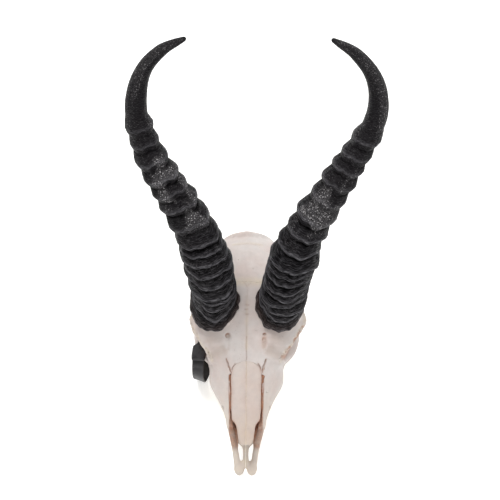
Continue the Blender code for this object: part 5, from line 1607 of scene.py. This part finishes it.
def horn_keratin(look):
    """Horn keratin, grown in rings and dried: near black with a satin sheen, fine fibres along it,
    lips lighter than the grooves by painted highlight (partly wear) and painted shade, pale dust and
    scuffs in patches, and a painted highlight along the upper horn."""
    material, tree, place_ = start_material("horn_keratin", 0.44, 1.56, 0.10)
    scuff_and_highlight, crest, margin = (
        node(tree, "ShaderNodeAttribute", out="Fac", attribute_name=name)
        for name in ("scuff_and_highlight", "crest", "margin"))
    around = node(tree, "ShaderNodeUVMap", uv_map="OFHorn")
    along, across = (
        node(tree, "ShaderNodeMapping", {"Vector": around, "Scale": scale})
        for scale in ((1.0, 0.055, 1.0), (0.13, 1.0, 1.0)))
    # Noise: (where, scale, detail, roughness), in features per mm of the horn's map or per metre
    fibre, line, speck, cloud = (
        node(tree, "ShaderNodeTexNoise", {
            "Vector": where, "Scale": scale, "Detail": detail, "Roughness": rough})
        for where, scale, detail, rough in (
            (along, 1.7, 4.0, 0.6), (across, 1.6, 4.0, 0.6), (place_, per_mm(0.6), 3.0, 0.7),
            (place_, per_mm(16), 3.0, 0.5)))
    up = node(tree, "ShaderNodeSeparateXYZ", (around,), "Y")
    grains = node(tree, "ShaderNodeTexVoronoi", {"Vector": place_, "Scale": per_mm(1.15), "Randomness": 1.0})
    kind = node(tree, "ShaderNodeSeparateColor", (grains.node.outputs["Color"],))
    # Ranges: (value, from, to, and what they become)
    worn, low, dips, tips, sunk, wide, thin, haze, gloss, sheen = (
        node(tree, "ShaderNodeMapRange", ends) for ends in (
            (line, 0.35, 0.75, 0.05, 1.0), (up, 130.0, 55.0, 0.12, 1.0), (line, 0.50, 0.40, 0.0, 0.9),
            (line, 0.54, 0.66, 0.0, 0.24), (crest, -0.2, -0.9, 0.0, 0.95), (kind, 0.0, 1.0, 0.1, 0.48),
            (cloud, 0.4, 0.75, 0.0, 0.14), (speck, 0.42, 0.64, 0.0, 0.24), (fibre, 0.3, 0.7, 0.36, 0.56),
            (line, 0.42, 0.64, 0.02, 0.16)))
    # Painted highlight, partly wear: lip lightens the ring lips, and tips paints light lines across the lower
    # horn
    lip = node(tree, "ShaderNodeMath", (crest, worn), operation="MULTIPLY", use_clamp=True)
    # Painted shade: dips paints dark lines across the lower horn, and sunk darkens the notches under the lips
    lip, dips, tips, heavy, haze, edge = (
        node(tree, "ShaderNodeMath", pair, operation="MULTIPLY") for pair in (
            (lip, 0.8), (dips, low), (tips, low), (scuff_and_highlight, 0.85), (haze, scuff_and_highlight), (margin, worn)))
    # Dust flecks follow the scuff attribute, which on the upper horn also holds a painted highlight
    flecks = node(tree, "ShaderNodeMath", (wide, grains), operation="SUBTRACT")
    flecks = node(tree, "ShaderNodeMapRange", (flecks, 0.0, 0.12, 0.0, 1.0))
    amount = node(tree, "ShaderNodeMath", (thin, heavy), operation="ADD", use_clamp=True)
    dust = node(tree, "ShaderNodeMath", (flecks, amount, haze), operation="MULTIPLY_ADD", use_clamp=True)
    tone = node(tree, "ShaderNodeMix", {
        0: cloud, 6: colour(look.dark), 7: colour(look.brown)}, 2, data_type="RGBA")
    for part, coat in (
        (dips, look.groove), (tips, look.worn), (sunk, look.groove), (lip, look.worn),
        (dust, look.dust), (edge, look.margin),
    ):
        tone = node(tree, "ShaderNodeMix", {0: part, 6: tone, 7: colour(coat)}, 2, data_type="RGBA")
    # The lips get more sheen, and the shaded notches lose theirs
    sheen = node(tree, "ShaderNodeMath", (lip, 0.3, sheen), operation="MULTIPLY_ADD")
    open_ = node(tree, "ShaderNodeMath", (1.0, sunk), operation="SUBTRACT")
    sheen = node(tree, "ShaderNodeMath", (sheen, open_), operation="MULTIPLY")
    bump = node(tree, "ShaderNodeBump", {"Height": fibre, "Strength": 0.5, "Distance": 0.00035})
    for height, strength, deep in ((line, 0.8, 0.0010), (speck, 0.6, 0.0004)):
        bump = node(tree, "ShaderNodeBump", {
            "Height": height, "Strength": strength, "Distance": deep, "Normal": bump})
    return wired(material, {
        "Base Color": tone, "Roughness": gloss, "Specular IOR Level": sheen, "Normal": bump})


def moulded_nylon(look):
    """Moulded nylon: charcoal, evenly satin, with the fine matt texture of the mould and light
    rubbing that shows as faint grey clouds."""
    material, tree, place_ = start_material("moulded_nylon", 0.42, 1.53, 0.3)
    texture, rub = (
        node(tree, "ShaderNodeTexNoise", {
            "Vector": place_, "Scale": per_mm(size), "Detail": detail, "Roughness": rough})
        for size, detail, rough in ((0.5, 2.0, 0.5), (6, 5.0, 0.65)))
    amount, gloss = (node(tree, "ShaderNodeMapRange", ends) for ends in (
        (rub, 0.45, 0.75, 0.0, 0.5), (rub, 0.3, 0.7, 0.34, 0.5)))
    tone = node(tree, "ShaderNodeMix", {
        0: amount, 6: colour(look.plastic), 7: colour(look.rubbed)}, 2, data_type="RGBA")
    bump = node(tree, "ShaderNodeBump", {"Height": texture, "Strength": 0.25, "Distance": 0.00012})
    return wired(material, {"Base Color": tone, "Roughness": gloss, "Normal": bump})


def painted_floor(look):
    """Matt acrylic of a light table, painted white: even, with a very faint texture, and lit
    a little from below."""
    material, tree, place_ = start_material("light_table", 0.85, 1.5, 0.2)
    roller = node(tree, "ShaderNodeTexNoise", {"Vector": place_, "Scale": per_mm(2), "Detail": 3.0})
    tone = node(tree, "ShaderNodeMix", {
        0: roller, 6: colour(look.floor), 7: colour(tuple(look.floor * 0.98))}, 2, data_type="RGBA")
    for name, value in (("Emission Color", colour(look.floor)), ("Emission Strength", look.glow)):
        tree.nodes["Principled BSDF"].inputs[name].default_value = value
    bump = node(tree, "ShaderNodeBump", {"Height": roller, "Strength": 0.08, "Distance": 0.0003})
    return wired(material, {"Base Color": tone, "Normal": bump})


def tint(name, description, code):
    """A colour property whose default is an sRGB hex colour."""
    return FloatVectorProperty(
        name=name, description=description, subtype="COLOR", size=3, min=0.0, max=1.0, default=linear(code))


def length(name, description, metres):
    """A property for a length, whose default is in metres."""
    return FloatProperty(name=name, description=description, unit="LENGTH", default=metres)


class SkullBoneLook(bpy.types.PropertyGroup):
    voxel: length("Surface step", "Grain of the bones' surface", 0.00062)
    suture: length("Suture", "Width of the open sutures", 0.00022)
    pale: tint("Pale bone", "Bleached bone", "#cdc6c2")
    blush: tint("Blush", "Pinkish cast of thin bone", "#c9bbb5")
    cream: tint("Cream", "Bone that still holds fat", "#cfc0a6")
    # Painted shade: this colour darkens sunk places, the bands of painted shade and the pores
    hollow: tint("Hollows", "Dull deposit in hollows and pores", "#a3907f")
    worn: tint("Worn bone", "Chalky raised places", "#dcd6d0")
    flesh: tint("Orbit", "Pinkish brown inside the orbits", "#b68e79")
    stain_dark: tint("Dark stain", "Dried tissue deep in the nose", "#693619")
    stain_light: tint("Light stain", "Dried tissue at the edges", "#ab6a41")
    enamel: tint("Enamel", "Crowns of the teeth", "#e6dcc6")


class SkullHornLook(bpy.types.PropertyGroup):
    ring_rise: length("Ring height", "Height of the strongest rings", 0.0030)
    dark: tint("Black horn", "Main colour of the horns", "#121114")
    brown: tint("Brown horn", "Second colour of the horns", "#1a1719")
    # Painted shade: darkens the notches under the lips and dark lines across the lower horn
    groove: tint("Grooves", "Between the rings", "#010101")
    # Painted highlight, partly wear: lightens the ring lips and light lines across the lower horn
    worn: tint("Worn lips", "Edges of the rings", "#77757a")
    # Also paints the highlight along the upper horn
    dust: tint("Dust", "Pale dust and scuffs", "#a6a3a4")
    margin: tint("Margin", "Ragged edge over the bone", "#4a3429")


class SkullTagLook(bpy.types.PropertyGroup):
    width: length("Strap width", "Width of the strap", 0.0095)
    thick: length("Strap thickness", "Thickness of the strap", 0.0012)
    plastic: tint("Plastic", "Colour of the tag", "#2b2a2c")
    rubbed: tint("Rubbed plastic", "Rubbed places on the tag", "#4b4a4c")


class SkullStageLook(bpy.types.PropertyGroup):
    floor: tint("Floor", "Colour of the floor", "#fdfdfc")
    glow: FloatProperty(name="Glow", description="Light of the table itself", default=0.36, min=0.0)
    light: FloatProperty(name="Light", description="Strength of the soft lights", default=1.0, min=0.0)


class SKULL_OT_bones(bpy.types.Operator):
    """Builds the eight bones of the cranium that are parted by sutures."""

    bl_idname = "skull.bones"
    bl_label = "Bones"

    def execute(self, context):
        look = context.scene.skull_bones
        gap = look.suture / METRES
        body = skull_body(look.voxel / METRES)
        sculpt(body)
        cut(body, trim_tools())
        cut(body, seam_tools(surface_tree(body)))
        cut(body, suture_tools(gap))
        material = dry_bone(look)
        for name, obj in separate(body, bone_seeds()).items():
            bone_attributes(obj)
            relief_and_shade_attribute(obj)
            place(obj, "bone_" + name, material, "bone", name)
        return {"FINISHED"}


class SKULL_OT_nasals(bpy.types.Operator):
    """Builds the two nasal bones, and the dried tissue in the slits beside them."""

    bl_idname = "skull.nasals"
    bl_label = "Nasals"

    def execute(self, context):
        material = bpy.data.materials["dry_bone"]
        for side, word in SIDES:
            obj = nasal(side, NASAL_GAP)
            relief_and_shade_attribute(obj)
            place(obj, "bone_nasal_" + word, material, "bone", "nasal_" + word)
            place(dried_tissue(side), "dried_tissue_" + word, material, "bone")
        return {"FINISHED"}


class SKULL_OT_teeth(bpy.types.Operator):
    """Builds the row of cheek teeth on each side."""

    bl_idname = "skull.teeth"
    bl_label = "Teeth"

    def execute(self, context):
        material = tooth_enamel(context.scene.skull_bones)
        for side, word in SIDES:
            place(tooth_row(side), "cheek_teeth_" + word, material, "bone", "maxilla_" + word)
        return {"FINISHED"}


class SKULL_OT_horns(bpy.types.Operator):
    """Builds the two ringed horns."""

    bl_idname = "skull.horns"
    bl_label = "Horns"

    def execute(self, context):
        look = context.scene.skull_horns
        material = horn_keratin(look)
        for side, word in SIDES:
            obj = horn(side, word, look.ring_rise / METRES)
            place(obj, "ringed_horn_" + word, material, "horn", "horn_" + word)
        return {"FINISHED"}


class SKULL_OT_tag(bpy.types.Operator):
    """Builds the looped strap of the tag and its lock."""

    bl_idname = "skull.tag"
    bl_label = "Tag"

    def execute(self, context):
        look = context.scene.skull_tag
        material = moulded_nylon(look)
        place(band(look.width / METRES, look.thick / METRES), "tag_strap", material, "tag", "tag_band")
        obj = lock()
        place(obj, "tag_lock_body", material, "tag", "tag_lock")
        obj.data.set_sharp_from_angle(angle=SHARP_TURN)
        return {"FINISHED"}


class SKULL_OT_stage(bpy.types.Operator):
    """Sets up the floor, the soft lights and the camera."""

    bl_idname = "skull.stage"
    bl_label = "Stage"

    def execute(self, context):
        look = context.scene.skull_stage
        scene = context.scene
        floor(painted_floor(look))
        world = bpy.data.worlds.new("studio")
        scene.world = world
        world.use_nodes = True
        tree = world.node_tree
        ways = node(tree, "ShaderNodeTexCoord", out="Generated")
        height = node(tree, "ShaderNodeSeparateXYZ", (ways,), "Z")
        bright = node(tree, "ShaderNodeMapRange", (
            height, 0.0, SKY_FADE, SKY_LOW * look.light, SKY_HIGH * look.light))
        back = tree.nodes["Background"]
        back.inputs["Color"].default_value = (1.0, 1.0, 1.0, 1.0)
        tree.links.new(bright, back.inputs["Strength"])
        for name, spot, power in LIGHTS:
            lamp = bpy.data.lights.new(name, "AREA")
            lamp.shape, lamp.size = "DISK", LAMP_SIZE
            lamp.energy = power * look.light
            obj = linked(name, lamp)
            obj.location = spot
            obj.rotation_euler = Vector(np.array(LAMP_AIM) - spot).to_track_quat("-Z", "Y").to_euler()
        scene.view_settings.view_transform = "Standard"
        camera(scene)
        return {"FINISHED"}


def floor(material):
    """A flat floor, a grid of quads at z = 0."""
    line = np.linspace(-FLOOR_REACH, FLOOR_REACH, FLOOR_LINES)
    x, y = np.meshgrid(line, line)
    points = np.stack([x, y, 0 * x], -1).reshape(-1, 3)
    r, k = np.mgrid[0:FLOOR_LINES - 1, 0:FLOOR_LINES - 1]
    first = r * FLOOR_LINES + k
    quads = np.stack([first, first + 1, first + FLOOR_LINES + 1, first + FLOOR_LINES], -1).reshape(-1, 4)
    mesh = bpy.data.meshes.new("floor")
    mesh.from_pydata(points.tolist(), [], quads.tolist())
    mesh.materials.append(material)
    linked("floor", mesh)


def camera(scene):
    """The camera, which looks at CAMERA_AIM from above and in front, rolled by a hair."""
    tilt, roll = np.radians(CAMERA_TILT), np.radians(CAMERA_ROLL)
    right = np.array((1.0, 0.0, 0.0))
    up = np.array((0.0, np.cos(tilt), np.sin(tilt)))
    back = np.array((0.0, -np.sin(tilt), np.cos(tilt)))
    lens = bpy.data.cameras.new("camera")
    lens.lens, lens.sensor_width = CAMERA_LENS, SENSOR_WIDTH
    lens.clip_start, lens.clip_end = CAMERA_CLIP
    turn = np.eye(4)
    turn[:3, 0] = right * np.cos(roll) + up * np.sin(roll)
    turn[:3, 1] = up * np.cos(roll) - right * np.sin(roll)
    turn[:3, 2] = back
    turn[:3, 3] = (np.array(CAMERA_AIM) + back * CAMERA_DISTANCE) * METRES + ORIGIN
    scene.camera = linked("camera", lens)
    scene.camera.matrix_world = Matrix(turn)


class SKULL_PT_panel(bpy.types.Panel):
    """Lists the skull's sizes, colours and pieces."""

    bl_label = "Springbok Skull"
    bl_idname = "SKULL_PT_panel"
    bl_space_type = "VIEW_3D"
    bl_region_type = "UI"
    bl_category = "Skull"

    def draw(self, context):
        layout = self.layout
        for title, group, operators in PANEL_ROWS:
            box = layout.box()
            box.label(text=title)
            settings = getattr(context.scene, group)
            for name in settings.bl_rna.properties.keys():
                if name not in ("rna_type", "name"):
                    box.prop(settings, name)
            for operator in operators:
                box.operator(operator)


# Rows of the panel: (title, settings, operators)
PANEL_ROWS = (
    ("Bone", "skull_bones", ("skull.bones", "skull.nasals", "skull.teeth")),
    ("Horns", "skull_horns", ("skull.horns",)),
    ("Tag", "skull_tag", ("skull.tag",)),
    ("Stage", "skull_stage", ("skull.stage",)),
)
LOOKS = (
    ("skull_bones", SkullBoneLook), ("skull_horns", SkullHornLook), ("skull_tag", SkullTagLook),
    ("skull_stage", SkullStageLook),
)
CLASSES = (
    SkullBoneLook, SkullHornLook, SkullTagLook, SkullStageLook, SKULL_OT_bones, SKULL_OT_nasals,
    SKULL_OT_teeth, SKULL_OT_horns, SKULL_OT_tag, SKULL_OT_stage, SKULL_PT_panel,
)


def register():
    """Adds the classes, and each group of settings to the scene."""
    for cls in CLASSES:
        bpy.utils.register_class(cls)
    for name, group in LOOKS:
        setattr(bpy.types.Scene, name, PointerProperty(type=group))


def unregister():
    """Takes the settings and the classes away again."""
    for name, _ in LOOKS:
        delattr(bpy.types.Scene, name)
    for cls in reversed(CLASSES):
        bpy.utils.unregister_class(cls)


def main():
    """Builds every piece and the stage."""
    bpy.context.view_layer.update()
    register()
    bpy.ops.skull.bones()
    bpy.ops.skull.nasals()
    bpy.ops.skull.teeth()
    bpy.ops.skull.horns()
    bpy.ops.skull.tag()
    bpy.ops.skull.stage()


if __name__ == "__main__":
    main()
